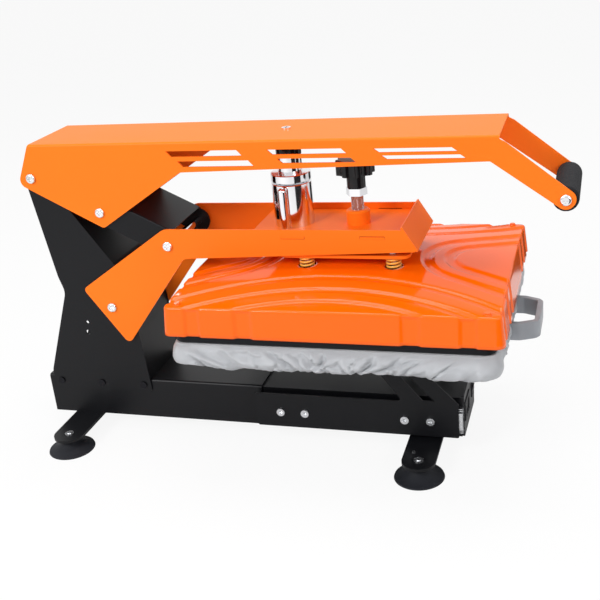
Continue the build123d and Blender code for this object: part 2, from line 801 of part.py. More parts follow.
with BuildPart() as magnet_side_tube:
    side_tube_r = 7.2
    side_tube_y = -(magnet_r + side_tube_r + flat_gap)
    with BuildSketch(Plane.XY.offset(floor_top)):
        with Locations((magnet_x - side_tube_setback, side_tube_y)):
            Circle(side_tube_r)
    extrude(amount=magnet_top - floor_top - side_tube_drop)
    fillet(magnet_side_tube.edges().sort_by(Axis.Z)[-1], radius=side_tube_r - side_tube_tip_r)
finish(magnet_side_tube, "magnet_side_tube")

# Pressure screw, lock nut and star knob turn together
knob_bottom = 463.5
knob_bore_depth = 12.0
hub_bottom = 441.0
nut_bottom = 429.0
nut_flat_r = 15.0
plate_thickness = 5.0
plate_bottom = 343.5
plate_top = plate_bottom + plate_thickness
screw_tip_r = 5.0
screw_tip_depth = 3.0
with BuildPart() as pressure_screw:
    with BuildSketch(Plane.XY.offset(plate_top + flat_gap)):
        with Locations((press_x, 0)):
            Circle(screw_r)
    extrude(amount=knob_bottom + knob_bore_depth - plate_top - flat_gap)
    with BuildSketch(Plane.XY.offset(plate_top - screw_tip_depth)):
        with Locations((press_x, 0)):
            Circle(screw_tip_r)
    extrude(amount=screw_tip_depth + flat_gap)
finish(pressure_screw, "pressure_screw")

with BuildPart() as lock_nut:
    with BuildSketch(Plane.XY.offset(nut_bottom)):
        with Locations((press_x, 0)):
            RegularPolygon(nut_flat_r, 6, major_radius=False)
            Circle(screw_r + running_fit, mode=Mode.SUBTRACT)
    extrude(amount=hub_bottom - nut_bottom)
finish(lock_nut, "lock_nut")

star_r = 31.0
star_lobes = 8
star_height = 24.0
notch_r = 10.5
notch_centre_r = 36.5
hub_r = 15.0
lobe_edge_r = 2.5
knob_edge_r = 2.0
with BuildPart() as star_knob:
    with BuildSketch(Plane.XY.offset(hub_bottom)):
        with Locations((press_x, 0)):
            Circle(hub_r)
    extrude(amount=knob_bottom - hub_bottom)
    with BuildSketch(Plane.XY.offset(knob_bottom)):
        with Locations((press_x, 0)):
            Circle(star_r)
            with PolarLocations(notch_centre_r, star_lobes):
                Circle(notch_r, mode=Mode.SUBTRACT)
    extrude(amount=star_height)
    lobe_edges = star_knob.edges().filter_by(Axis.Z).filter_by(lambda e: e.center().Z > knob_bottom)
    fillet(lobe_edges, radius=lobe_edge_r)
    fillet(star_knob.edges().group_by(Axis.Z)[-1], radius=knob_edge_r)
    with BuildSketch(Plane.XY.offset(hub_bottom)):
        with Locations((press_x, 0)):
            Circle(screw_r + running_fit)
    extrude(amount=knob_bottom + knob_bore_depth + flat_gap - hub_bottom, mode=Mode.SUBTRACT)
finish(star_knob, "star_knob")

# Pressure plate under the screw
spring_mid_x = 118.5
spring_spots = [
    (spring_mid_x + sx * spring_pitch_x / 2, sy * spring_pitch_y / 2) for sx in (-1, 1) for sy in (-1, 1)
]
hanger_r = 4.0
hanger_gap = 0.5
plate_length = 214.0
plate_side_gap = 3.0
plate_width = 2 * (arm_inner_y - plate_side_gap)
plate_mid_x = 110.0
plate_corner_r = 14.0
with BuildPart() as pressure_plate:
    with BuildSketch(Plane.XY.offset(plate_bottom)):
        with Locations((plate_mid_x, 0)):
            RectangleRounded(plate_length, plate_width, plate_corner_r)
        with Locations((press_x, 0)):
            Circle(screw_tip_r + running_fit, mode=Mode.SUBTRACT)
        with Locations(*spring_spots):
            Circle(hanger_r + hanger_gap, mode=Mode.SUBTRACT)
    extrude(amount=plate_thickness)
finish(pressure_plate, "pressure_plate")

# Heat platen: plate, tube element, insulation and the bridge that the springs stand on
heater_thickness = 22.0
heater_corner_r = 18.0
heater_chamfer = 1.5
heater_top = platen_bottom + heater_thickness
with BuildPart() as heater_plate:
    with BuildSketch(Plane.XY.offset(platen_bottom)):
        with Locations((platen_x, 0)):
            RectangleRounded(platen_length, platen_width, heater_corner_r)
    extrude(amount=heater_thickness)
    chamfer(heater_plate.faces().sort_by(Axis.Z)[0].edges(), length=heater_chamfer)
finish(heater_plate, "heater_plate")

element_r = 4.0
element_z = heater_top + flat_gap + element_r
run_count = 6
run_pitch = 56.0
run_setback = 45.0
run_half = platen_length / 2 - run_setback
with BuildPart() as heating_element:
    with BuildLine(Plane.XY.offset(element_z)) as element_path:
        for run in range(run_count):
            y = (run - (run_count - 1) / 2) * run_pitch
            way = 1 if run % 2 == 0 else -1
            turn_x = platen_x + way * run_half
            Line((platen_x - way * run_half, y), (turn_x, y))
            if run < run_count - 1:
                CenterArc((turn_x, y + run_pitch / 2), run_pitch / 2, -90, way * 180)
    element_wire = element_path.wires()[0]
    with BuildSketch(Plane(origin=element_wire @ 0, z_dir=element_wire % 0)):
        Circle(element_r)
    sweep(path=element_wire)
finish(heating_element, "heating_element")

insulation_bottom = element_z + element_r + flat_gap
insulation_top = 296.0
insulation_inset = 24.0
insulation_corner_r = 8.0
post_r = 6.0
post_gap = 1.0
post_half_x = 95.0
post_half_y = 66.0
post_spots = [(spring_mid_x + sx * post_half_x, sy * post_half_y) for sx in (-1, 1) for sy in (-1, 1)]
with BuildPart() as insulation_board:
    with BuildSketch(Plane.XY.offset(insulation_bottom)):
        with Locations((platen_x, 0)):
            RectangleRounded(
                platen_length - 2 * insulation_inset,
                platen_width - 2 * insulation_inset,
                insulation_corner_r,
            )
        with Locations(*post_spots):
            Circle(post_r + post_gap, mode=Mode.SUBTRACT)
    extrude(amount=insulation_top - insulation_bottom)
finish(insulation_board, "insulation_board")

bridge_bottom = 303.0
bridge_top = bridge_bottom + sheet
bridge_length = 214.0
bridge_width = 156.0
bridge_corner_r = 10.0
bridge_window_length = 90.0
bridge_window_width = 60.0
with BuildPart() as spring_bridge:
    with BuildSketch(Plane.XY.offset(bridge_bottom)):
        with Locations((spring_mid_x, 0)):
            RectangleRounded(bridge_length, bridge_width, bridge_corner_r)
            Rectangle(bridge_window_length, bridge_window_width, mode=Mode.SUBTRACT)
        with Locations(*spring_spots):
            Circle(hanger_r + running_fit, mode=Mode.SUBTRACT)
    extrude(amount=sheet)
    with BuildSketch(Plane.XY.offset(heater_top)):
        with Locations(*post_spots):
            Circle(post_r)
    extrude(amount=bridge_bottom - heater_top)
finish(spring_bridge, "spring_bridge")

# Hanger bolts rise from the bridge through the springs and the plate to their nuts
hanger_head_height = 5.0
hanger_nut_height = 6.5
hanger_tip = 4.0
hanger_head_r = 7.0
hanger_nut_r = 7.5
with BuildPart() as hanger_bolts:
    with BuildSketch(Plane.XY.offset(bridge_bottom)):
        with Locations(*spring_spots):
            RegularPolygon(hanger_head_r, 6)
    extrude(amount=-hanger_head_height)
    with BuildSketch(Plane.XY.offset(bridge_bottom)):
        with Locations(*spring_spots):
            Circle(hanger_r)
    extrude(amount=plate_top + flat_gap + hanger_nut_height + hanger_tip - bridge_bottom)
    with BuildSketch(Plane.XY.offset(plate_top + flat_gap)):
        with Locations(*spring_spots):
            RegularPolygon(hanger_nut_r, 6)
    extrude(amount=hanger_nut_height)
finish(hanger_bolts, "hanger_bolts")

# Compression springs between the bridge and the pressure plate
spring_wire_r = 1.7
spring_coil_r = 10.6
spring_turns = 6
spring_low = bridge_top + flat_gap + spring_wire_r
spring_high = plate_bottom - flat_gap - spring_wire_r
spring_rise = (spring_high - spring_low) / spring_turns


def coil_at(spot, turns):
    """Point and direction of the wire's centre line after a number of turns."""
    angle = 2 * math.pi * turns
    x = spot[0] + spring_coil_r * math.cos(angle)
    y = spot[1] + spring_coil_r * math.sin(angle)
    point = Vector(x, y, spring_low + spring_rise * turns)
    reach = 2 * math.pi * spring_coil_r
    way = Vector(-reach * math.sin(angle), reach * math.cos(angle), spring_rise)
    return point, way.normalized()


def coil_path(spot):
    """Coil as a pair of tangent arcs for each quarter turn."""
    for quarter in range(4 * spring_turns):
        start, start_way = coil_at(spot, quarter / 4)
        end, end_way = coil_at(spot, (quarter + 1) / 4)
        chord = end - start
        square = 2 * (start_way.dot(end_way) - 1)
        linear = -2 * chord.dot(start_way + end_way)
        handle = (-linear - math.sqrt(linear**2 - 4 * square * chord.dot(chord))) / (2 * square)
        first = start + start_way * handle
        second = end - end_way * handle
        joint = (first + second) * 0.5
        TangentArc(start, joint, tangent=start_way)
        TangentArc(joint, end, tangent=second - first)


def least_gap(wire, wire_r, turns):
    """Least gap between curls, measured between points more than half a turn apart."""
    steps = 24 * turns
    points = [wire @ (step / steps) for step in range(steps + 1)]
    pairs = [(a, b) for a in range(steps + 1) for b in range(a + 13, steps + 1)]
    return min((points[a] - points[b]).length for a, b in pairs) - 2 * wire_r


with BuildPart() as die_springs:
    for spot in spring_spots:
        with BuildLine() as coil:
            coil_path(spot)
        coil_wire = coil.wires()[0]
        with BuildSketch(Plane(origin=coil_wire @ 0, z_dir=coil_wire % 0)):
            Circle(spring_wire_r)
        sweep(path=coil_wire)
finish(die_springs, "die_springs")
print("springs: least gap between curls", round(least_gap(coil_wire, spring_wire_r, spring_turns), 2), "mm")

# Platen cover: drafted walls and a crowned top, with pressed grooves that run down the walls
cover_reach_x = 13.5
cover_reach_y = 7.5
cover_length = platen_length + 2 * cover_reach_x
cover_width = platen_width + 2 * cover_reach_y
cover_rim_height = 46.0
crown_rise_middle = 20.0
crown_rise_end = 8.0
crown_spare = 6.0
cover_draft = 6.0
cover_shell = 2.5
cover_corner_r = 8.0
cover_rim_r = 4.0
groove_depth = 2.6
groove_recess = 3.2
bow_angle = 28.5
# Grooves along the long walls: nearest to the middle, radius of the far edge, width
side_grooves = [
    (91.0, 440.0, 12.0),
    (133.0, 410.0, 12.0),
    (168.5, 343.0, 10.0),
]
# Bows at the short walls: corner of the sides from the middle, bend of the near edge, width
end_bows = [
    (115.0, 47.0, 16.0),
    (40.0, 82.0, 16.0),
]
cover_rim_z = cover_bottom + cover_rim_height


def crown_outline(rise, lower):
    """Cross-section of the crown: an arc over the width, closed below the cover."""
    reach = cover_width / 2 + crown_spare
    fall = rise * ((2 * reach / cover_width) ** 2 - 1)
    edge_z = cover_rim_z - lower - fall
    foot_z = cover_bottom - crown_spare
    ThreePointArc((-reach, edge_z), (0, cover_rim_z - lower + rise), (reach, edge_z))
    Polyline((reach, edge_z), (reach, foot_z), (-reach, foot_z), (-reach, edge_z))


def cover_form(inset, lower, low_z):
    """Plain form of the cover, drawn in at the walls and lowered at the top."""
    top_z = cover_rim_z + crown_rise_middle + crown_spare
    draft_in = (top_z - cover_bottom) * math.tan(math.radians(cover_draft))
    foot_out = (cover_bottom - low_z) * math.tan(math.radians(cover_draft))
    end_reach = cover_length / 2 + crown_spare
    half_x = cover_length / 2 - inset
    half_y = cover_width / 2 - inset
    with BuildPart() as form:
        for along, rise in ((-end_reach, crown_rise_end), (0, crown_rise_middle), (end_reach, crown_rise_end)):
            with BuildSketch(Plane.YZ.offset(platen_x + along)):
                with BuildLine():
                    crown_outline(rise, lower)
                make_face()
        loft()
        with BuildSketch(Plane.XY.offset(low_z)):
            with Locations((platen_x, 0)):
                RectangleRounded(2 * (half_x + foot_out), 2 * (half_y + foot_out), cover_corner_r)
        with BuildSketch(Plane.XY.offset(top_z)):
            with Locations((platen_x, 0)):
                RectangleRounded(2 * (half_x - draft_in), 2 * (half_y - draft_in), cover_corner_r)
        loft(ruled=True, mode=Mode.INTERSECT)
    return form.part


def bow_edge(sign, corner, bend):
    """One edge of a bow, closed beyond the cover."""
    far_x = cover_length
    spread = (far_x - corner) * math.tan(math.radians(bow_angle))
    FilletPolyline(
        (platen_x + sign * far_x, -spread),
        (platen_x + sign * corner, 0),
        (platen_x + sign * far_x, spread),
        radius=bend,
    )
    Line((platen_x + sign * far_x, -spread), (platen_x + sign * far_x, spread))


def groove_bands(wider):
    """All grooves as upright bands, each edge moved out by the given amount."""
    skew = math.sin(math.radians(bow_angle))
    band_height = 3 * cover_rim_height
    with BuildPart() as bands:
        for near, radius, width in side_grooves:
            for sign in (-1, 1):
                with BuildSketch(Plane.XY.offset(cover_bottom - crown_spare)):
                    with Locations((platen_x, sign * (near + radius))):
                        Circle(radius + wider)
                        Circle(radius - width - wider, mode=Mode.SUBTRACT)
                extrude(amount=band_height)
        for corner, bend, width in end_bows:
            for sign in (-1, 1):
                with BuildSketch(Plane.XY.offset(cover_bottom - crown_spare)):
                    with BuildLine():
                        bow_edge(sign, corner - (width + wider) / skew, bend + width + wider)
                    make_face()
                    with BuildLine():
                        bow_edge(sign, corner + wider / skew, bend - wider)
                    make_face(mode=Mode.SUBTRACT)
                extrude(amount=band_height)
    return bands.part


def grooved_form(thin):
    """Form of the cover with its grooves, drawn in by the given wall."""
    low_z = cover_bottom - (flat_gap if thin else 0)
    with BuildPart() as groove_cut:
        add(groove_bands(thin))
        add(cover_form(thin + groove_recess, thin + groove_depth, cover_bottom - crown_spare), mode=Mode.SUBTRACT)
    with BuildPart() as form:
        add(cover_form(thin, thin, low_z))
        if not thin:
            rim_edges = form.faces().sort_by(Axis.Z)[-1].edges()
            fillet(rim_edges, radius=cover_rim_r)
        add(groove_cut.part, mode=Mode.SUBTRACT)
    return form.part


cover_screw_x = cover_length / 2 - 25.5
cover_screw_y = cover_width / 2 - 15.0
cover_screw_spots = [(platen_x + sx * cover_screw_x, sy * cover_screw_y) for sx in (-1, 1) for sy in (-1, 1)]
boss_rise = 3.0
boss_top = cover_rim_z + boss_rise
cover_boss_r = 6.0
cover_screw_r = 2.0
cover_screw_head_r = 4.5
cover_screw_head_height = 2.0
cover_screw_length = 12.0
cover_bore_spare = 2.0
spring_hole_r = 14.3
gland_y = -6.0
gland_z = 295.5
gland_thread_r = 8.0
cover_outer = grooved_form(0)
cover_inner = grooved_form(cover_shell)
with BuildPart() as platen_cover:
    add(cover_outer)
    add(cover_inner, mode=Mode.SUBTRACT)
    with BuildSketch(Plane.XY.offset(heater_top)):
        with Locations(*cover_screw_spots):
            Circle(cover_boss_r)
    extrude(amount=boss_top - heater_top)
    with BuildSketch(Plane.XY.offset(boss_top)):
        with Locations(*cover_screw_spots):
            Circle(cover_screw_r + running_fit)
    extrude(amount=-cover_screw_length - cover_bore_spare, mode=Mode.SUBTRACT)
    with BuildSketch(Plane.XY.offset(bridge_top + flat_gap)):
        with Locations(*spring_spots):
            Circle(spring_hole_r)
    extrude(amount=plate_bottom - bridge_top, mode=Mode.SUBTRACT)
    with BuildSketch(Plane.YZ.offset(platen_x - cover_length / 2 - 1)):
        with Locations((gland_y, gland_z)):
            Circle(gland_thread_r + panel_gap)
    extrude(amount=cover_shell * 4, mode=Mode.SUBTRACT)
finish(platen_cover, "platen_cover")

# Handle: folded channel whose sides run forward to the grip
handle_rear_x = -413.5
handle_front_x = 357.3
handle_outline = [
    (handle_rear_x, handle_top),
    (-443.8, 470.2),
    (-297.7, 392.6),
    (-145.5, 487.3),
    (343.5, 498.8),
    (452.9, 420.6),
    (470.0, 443.2),
    (366.0, 526.5),
    (handle_front_x, 531.0),
    (handle_front_x, handle_top),
]
handle_radii = [2, 14, 8, 10, 6, 13.8, 13.8, 6, 2, 0.5]
grip_centre = (449.9, 440.6)
grip_tube_r = 11.0
foam_r = 19.5
foam_edge_r = 3.0
slot_slant = 8.5
slot_rows = [
    (-165.0, 522.3, 120.0, 9.4),
    (-147.0, 505.6, 119.5, 9.4),
    (4.5, 522.0, 118.0, 8.0),
    (19.8, 507.6, 116.5, 7.4),
    (172.0, 520.8, 117.0, 6.2),
    (183.5, 510.0, 117.5, 6.0),
]
handle_inner_y = handle_half_width - sheet
post_screw_r = 4.0
with BuildPart() as handle_channel:
    for plane in side_planes(handle_half_width, sheet).values():
        with BuildSketch(plane):
            with BuildLine():
                FilletPolyline(*handle_outline, radius=handle_radii, close=True)
            make_face()
            for x, z, length, height in slot_rows:
                with BuildLine():
                    Polyline(
                        (x, z),
                        (x + length, z),
                        (x + length + slot_slant, z - height),
                        (x + slot_slant, z - height),
                        close=True,
                    )
                make_face(mode=Mode.SUBTRACT)
            with Locations(handle_pivot):
                Circle(pivot_shaft_r + running_fit, mode=Mode.SUBTRACT)
            with Locations(handle_link_pivot, grip_centre):
                Circle(pivot_screw_r + running_fit, mode=Mode.SUBTRACT)
        extrude(amount=sheet)
    with BuildSketch(Plane.XY.offset(handle_top - sheet)):
        with Locations(((handle_rear_x + handle_front_x) / 2, 0)):
            Rectangle(handle_front_x - handle_rear_x, 2 * handle_half_width)
        with Locations((magnet_x, 0)):
            Circle(post_screw_r + running_fit, mode=Mode.SUBTRACT)
    extrude(amount=sheet)
    bend_edges = handle_channel.edges().filter_by(Axis.X).group_by(Axis.Z)[-1]
    fillet(bend_edges, radius=sheet + 1)
finish(handle_channel, "handle_channel")

with BuildPart() as grip_tube:
    grip_plane = Plane.XZ.offset(-handle_inner_y)
    with BuildSketch(grip_plane):
        with Locations(grip_centre):
            Circle(grip_tube_r)
            Circle(pivot_screw_r + running_fit, mode=Mode.SUBTRACT)
    extrude(amount=2 * handle_inner_y)
finish(grip_tube, "grip_tube")

with BuildPart() as grip_foam:
    with BuildSketch(Plane.XZ.offset(-(handle_inner_y - flat_gap))):
        with Locations(grip_centre):
            Circle(foam_r)
            Circle(grip_tube_r + running_fit, mode=Mode.SUBTRACT)
    extrude(amount=2 * (handle_inner_y - flat_gap))
    foam_rims = grip_foam.edges().filter_by(GeomType.CIRCLE).filter_by(lambda e: e.radius > grip_tube_r + 1)
    fillet(foam_rims, radius=foam_edge_r)
finish(grip_foam, "grip_foam")

# Armature hung under the handle: collar, post and disc over the magnet
disc_bottom = 455.6
disc_thickness = 12.4
armature_r = 20.0
collar_height = 37.0
collar_rim = 0.6
post_top = handle_top - sheet - collar_height
with BuildPart() as armature_disc:
    with BuildSketch(Plane.XY.offset(disc_bottom)):
        with Locations((magnet_x, 0)):
            Circle(magnet_r)
    extrude(amount=disc_thickness)
    chamfer(armature_disc.edges().group_by(Axis.Z)[-1], length=magnet_chamfer)
finish(armature_disc, "armature_disc")

with BuildPart() as armature_post:
    with BuildSketch(Plane.XY.offset(disc_bottom + disc_thickness)):
        with Locations((magnet_x, 0)):
            Circle(armature_r)
    extrude(amount=post_top - disc_bottom - disc_thickness)
finish(armature_post, "armature_post")

with BuildPart() as post_collar:
    with BuildSketch(Plane.XY.offset(post_top)):
        with Locations((magnet_x, 0)):
            Circle(armature_r + collar_rim)
            Circle(post_screw_r + running_fit, mode=Mode.SUBTRACT)
    extrude(amount=collar_height)
finish(post_collar, "post_collar")

# Toggle link: channel between the handle and the platen arm
link_half_width = handle_inner_y - link_clearance
link_run = math.dist(handle_link_pivot, arm_link_pivot)
link_cos = (arm_link_pivot[0] - handle_link_pivot[0]) / link_run
link_sin = (arm_link_pivot[1] - handle_link_pivot[1]) / link_run
link_edge = 22.0
link_tube_r = 9.0
link_web_setback = 5.0
link_bend_r = sheet - 0.2
link_corner_radii = [1, 18, 21, 21]


def link_point(along, across):
    """Point of the link's side view, from the handle's pivot along and across the link."""
    x = handle_link_pivot[0] + along * link_cos - across * link_sin
    z = handle_link_pivot[1] + along * link_sin + across * link_cos
    return (x, z)


with BuildPart() as link_channel:
    flange_outline = [
        link_point(-link_edge, link_edge),
        link_point(-link_edge, -link_edge),
        link_point(link_run + link_edge, -link_edge),
        link_point(link_run + link_edge, link_edge),
    ]
    web_outline = [
        link_point(-link_edge, link_edge),
        link_point(link_run - link_web_setback, link_edge),
        link_point(link_run - link_web_setback, link_edge + sheet),
        link_point(-link_edge, link_edge + sheet),
    ]
    with BuildSketch(Plane.XZ.offset(-link_half_width)):
        with BuildLine():
            Polyline(*web_outline, close=True)
        make_face()
    extrude(amount=2 * link_half_width)
    link_direction = Axis((0, 0, 0), (link_cos, 0, link_sin))
    across_direction = Axis((0, 0, 0), (-link_sin, 0, link_cos))
    web_edges = link_channel.edges().filter_by(link_direction).group_by(across_direction)[-1]
    fillet(web_edges, radius=link_bend_r)
    for plane in side_planes(link_half_width, sheet).values():
        with BuildSketch(plane):
            with BuildLine():
                FilletPolyline(*flange_outline, radius=link_corner_radii, close=True)
            make_face()
        extrude(amount=sheet)
    with BuildSketch(Plane.XZ.offset(-link_half_width)):
        with Locations(handle_link_pivot):
            Circle(link_tube_r)
    extrude(amount=2 * link_half_width)
    with BuildSketch(Plane.XZ.offset(-link_half_width)):
        with Locations(handle_link_pivot):
            Circle(pivot_screw_r + running_fit)
        with Locations(arm_link_pivot):
            Circle(pivot_shaft_r + running_fit)
    extrude(amount=2 * link_half_width, mode=Mode.SUBTRACT)
finish(link_channel, "link_channel")

# Pivot shafts, tapped at both ends for their screws
thread_depth = 20.0
shank_length = 18.0
head_rim = 1.4


def shaft(spot, half):
    """Shaft along Y with a tapped bore at each end."""
    with BuildPart() as bar:
        with BuildSketch(Plane.XZ.offset(-half)):
            with Locations(spot):
                Circle(pivot_shaft_r)
        extrude(amount=2 * half)
        with BuildSketch(Plane.XZ.offset(half)):
            with Locations(spot):
                Circle(pivot_screw_r + running_fit)
        extrude(amount=-thread_depth, mode=Mode.SUBTRACT)
        with BuildSketch(Plane.XZ.offset(-half)):
            with Locations(spot):
                Circle(pivot_screw_r + running_fit)
        extrude(amount=thread_depth, mode=Mode.SUBTRACT)
    return bar.part


def screw_pair(spot, face_y, shank):
    """Button-head screws with a cross recess, one at each end of a pivot."""
    with BuildPart() as pair:
        with BuildSketch(Plane.XZ.offset(face_y)):
            with Locations(spot):
                Circle(pivot_head_r)
        extrude(amount=pivot_head_height)
        fillet(pair.edges().sort_by(Axis.Y)[0], radius=pivot_head_height - head_rim)
        with BuildSketch(Plane.XZ.offset(face_y + pivot_head_height)):
            with Locations(spot):
                Rectangle(recess_length, recess_width)
                Rectangle(recess_width, recess_length)
        extrude(amount=-recess_depth, mode=Mode.SUBTRACT)
        with BuildSketch(Plane.XZ.offset(face_y)):
            with Locations(spot):
                Circle(pivot_screw_r)
        extrude(amount=-shank)
        mirror(about=Plane.XZ)
    return pair.part


stand_shaft_ends = [(handle_pivot, handle_half_width + flat_gap), (arm_pivot, arm_half_width + flat_gap)]
with BuildPart() as stand_shafts:
    for spot, half in stand_shaft_ends:
        add(shaft(spot, half))
finish(stand_shafts, "stand_shafts")

with BuildPart() as stand_screws:
    for spot, half in stand_shaft_ends:
        add(screw_pair(spot, half, shank_length))
    with BuildSketch(Plane.XZ.offset(stand_half_width)):
        with Locations(*stand_bolt_spots):
            Circle(stand_head_r)
    extrude(amount=stand_head_height)
    with BuildSketch(Plane.XZ.offset(stand_half_width)):
        with Locations(*stand_bolt_spots):
            Circle(stand_bolt_r)
    extrude(amount=-sheet)
    with BuildSketch(Plane.XZ.offset(-stand_half_width)):
        with Locations(*stand_bolt_spots):
            Circle(stand_head_r)
    extrude(amount=-stand_head_height)
    with BuildSketch(Plane.XZ.offset(-stand_half_width)):
        with Locations(*stand_bolt_spots):
            Circle(stand_bolt_r)
    extrude(amount=sheet)
finish(stand_screws, "stand_screws")

with BuildPart() as link_shaft:
    add(shaft(arm_link_pivot, arm_half_width))
    add(screw_pair(arm_link_pivot, arm_half_width, shank_length))
finish(link_shaft, "link_shaft")

# Screws of the handle: grip, link and armature post
post_head_r = 7.5
post_head_height = 3.0
with BuildPart() as handle_screws:
    add(screw_pair(grip_centre, handle_half_width, shank_length))
    add(screw_pair(handle_link_pivot, handle_half_width, sheet))
    with BuildSketch(Plane.XY.offset(handle_top)):
        with Locations((magnet_x, 0)):
            Circle(post_head_r)
            Rectangle(recess_length, recess_width, mode=Mode.SUBTRACT)
            Rectangle(recess_width, recess_length, mode=Mode.SUBTRACT)
    extrude(amount=post_head_height)
    with BuildSketch(Plane.XY.offset(handle_top)):
        with Locations((magnet_x, 0)):
            Circle(post_head_r)
    extrude(amount=post_head_height - recess_depth)
    with BuildSketch(Plane.XY.offset(handle_top)):
        with Locations((magnet_x, 0)):
            Circle(post_screw_r)
    extrude(amount=-(sheet + collar_height))
finish(handle_screws, "handle_screws")

# Screws that hold the cover to its bosses
with BuildPart() as cover_screws:
    with BuildSketch(Plane.XY.offset(boss_top)):
        with Locations(*cover_screw_spots):
            Circle(cover_screw_head_r)
    extrude(amount=cover_screw_head_height)
    with BuildSketch(Plane.XY.offset(boss_top)):
        with Locations(*cover_screw_spots):
            Circle(cover_screw_r)
    extrude(amount=-cover_screw_length)
finish(cover_screws, "cover_screws")

# Cable gland in the rear wall of the cover
gland_nut_r = 11.0
gland_nut_height = 6.0
gland_cap_height = 7.0
gland_inner_length = 9.0
gland_seat = 0.05
gland_cap_rim = 0.5
gland_cap_taper = 12.0
gland_low = gland_z - gland_nut_r - cover_bottom
gland_wall_x = platen_x - cover_length / 2 + gland_low * math.tan(math.radians(cover_draft)) - gland_seat
with BuildPart() as cable_gland:
    with BuildSketch(Plane.YZ.offset(gland_wall_x + gland_inner_length)):
        with Locations((gland_y, gland_z)):
            Circle(gland_thread_r)
    extrude(amount=-gland_inner_length - gland_nut_height)
    with BuildSketch(Plane.YZ.offset(gland_wall_x)):
        with Locations((gland_y, gland_z)):
            RegularPolygon(gland_nut_r, 6)
    extrude(amount=-gland_nut_height)
    with BuildSketch(Plane.YZ.offset(gland_wall_x - gland_nut_height)):
        with Locations((gland_y, gland_z)):
            Circle(gland_thread_r + gland_cap_rim)
    extrude(amount=-gland_cap_height, taper=gland_cap_taper)
finish(cable_gland, "cable_gland")
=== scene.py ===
import bmesh
import bpy
import json
import math
from mathutils import Matrix, Vector, noise


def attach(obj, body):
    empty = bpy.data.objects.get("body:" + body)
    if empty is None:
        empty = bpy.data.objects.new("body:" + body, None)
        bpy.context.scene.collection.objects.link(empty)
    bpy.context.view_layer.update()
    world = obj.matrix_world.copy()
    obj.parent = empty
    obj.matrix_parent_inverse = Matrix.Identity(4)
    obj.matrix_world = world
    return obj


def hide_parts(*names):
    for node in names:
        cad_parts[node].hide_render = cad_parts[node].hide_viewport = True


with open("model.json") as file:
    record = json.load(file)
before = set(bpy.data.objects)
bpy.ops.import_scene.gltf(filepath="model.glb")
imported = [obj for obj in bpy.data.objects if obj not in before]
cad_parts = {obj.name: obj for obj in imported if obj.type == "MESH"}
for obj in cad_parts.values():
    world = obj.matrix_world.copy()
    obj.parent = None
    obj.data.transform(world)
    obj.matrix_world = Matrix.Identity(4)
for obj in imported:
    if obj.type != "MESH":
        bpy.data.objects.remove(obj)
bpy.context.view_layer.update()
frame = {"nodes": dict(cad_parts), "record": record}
nodes = frame["nodes"]
scene = bpy.context.scene
tolerance = 0.0001

# camera at the photograph's place
cameraView = {
    "place": (0.5029, -1.4613, 0.8821),
    "right": (0.95524, 0.28140, -0.09130),
    "down": (0.02815, -0.39370, -0.91881),
    "forward": (-0.29450, 0.87511, -0.38400),
    "lens": 58.69,
    "sensor": 36.0,
    "nearest": 0.05,
    "farthest": 60.0,
}
# plain studio round the press
studio = {
    "roomLight": 0.46,
    "floorWhite": 0.80,
    "floorRoughness": 0.9,
    "floorGlow": 0.90,
    "floorGlowMirrored": 0.15,
    "floorHalf": 30.0,
    # dark cards that only reflections see: azimuth in degrees, distance from the origin, width, height
    "cards": [(-36.0, 0.90, 0.62, 0.42), (62.0, 0.95, 0.50, 0.42)],
    # name: place, aim, size, watts
    "lamps": {
        "softboxLeft": ((-1.3, -2.2, 1.9), (0.0, 0.0, 0.25), 1.0, 52),
        "softboxRight": ((2.1, -1.5, 1.5), (0.1, 0.0, 0.25), 0.9, 18),
        "overhead": ((0.1, 0.3, 2.4), (0.0, 0.0, 0.3), 1.4, 30),
    },
}


# an output socket that takes part in sums
class Wire:
    def __init__(self, finish, socket):
        self.finish = finish
        self.socket = socket

    def work(self, operation, a, b=0.0):
        return self.finish.add("ShaderNodeMath", {"operation": operation}, {0: a, 1: b})

    def __add__(self, other):
        return self.work("ADD", self, other)

    def __radd__(self, other):
        return self.work("ADD", other, self)

    def __sub__(self, other):
        return self.work("SUBTRACT", self, other)

    def __mul__(self, other):
        return self.work("MULTIPLY", self, other)

    def __pow__(self, other):
        return self.work("POWER", self, other)

    def __gt__(self, other):
        return self.work("GREATER_THAN", self, other)

    def __lt__(self, other):
        return self.work("LESS_THAN", self, other)

    def larger(self, other):
        return self.work("MAXIMUM", self, other)

    def sine(self):
        return self.work("SINE", self)

    def size(self):
        return self.work("ABSOLUTE", self)


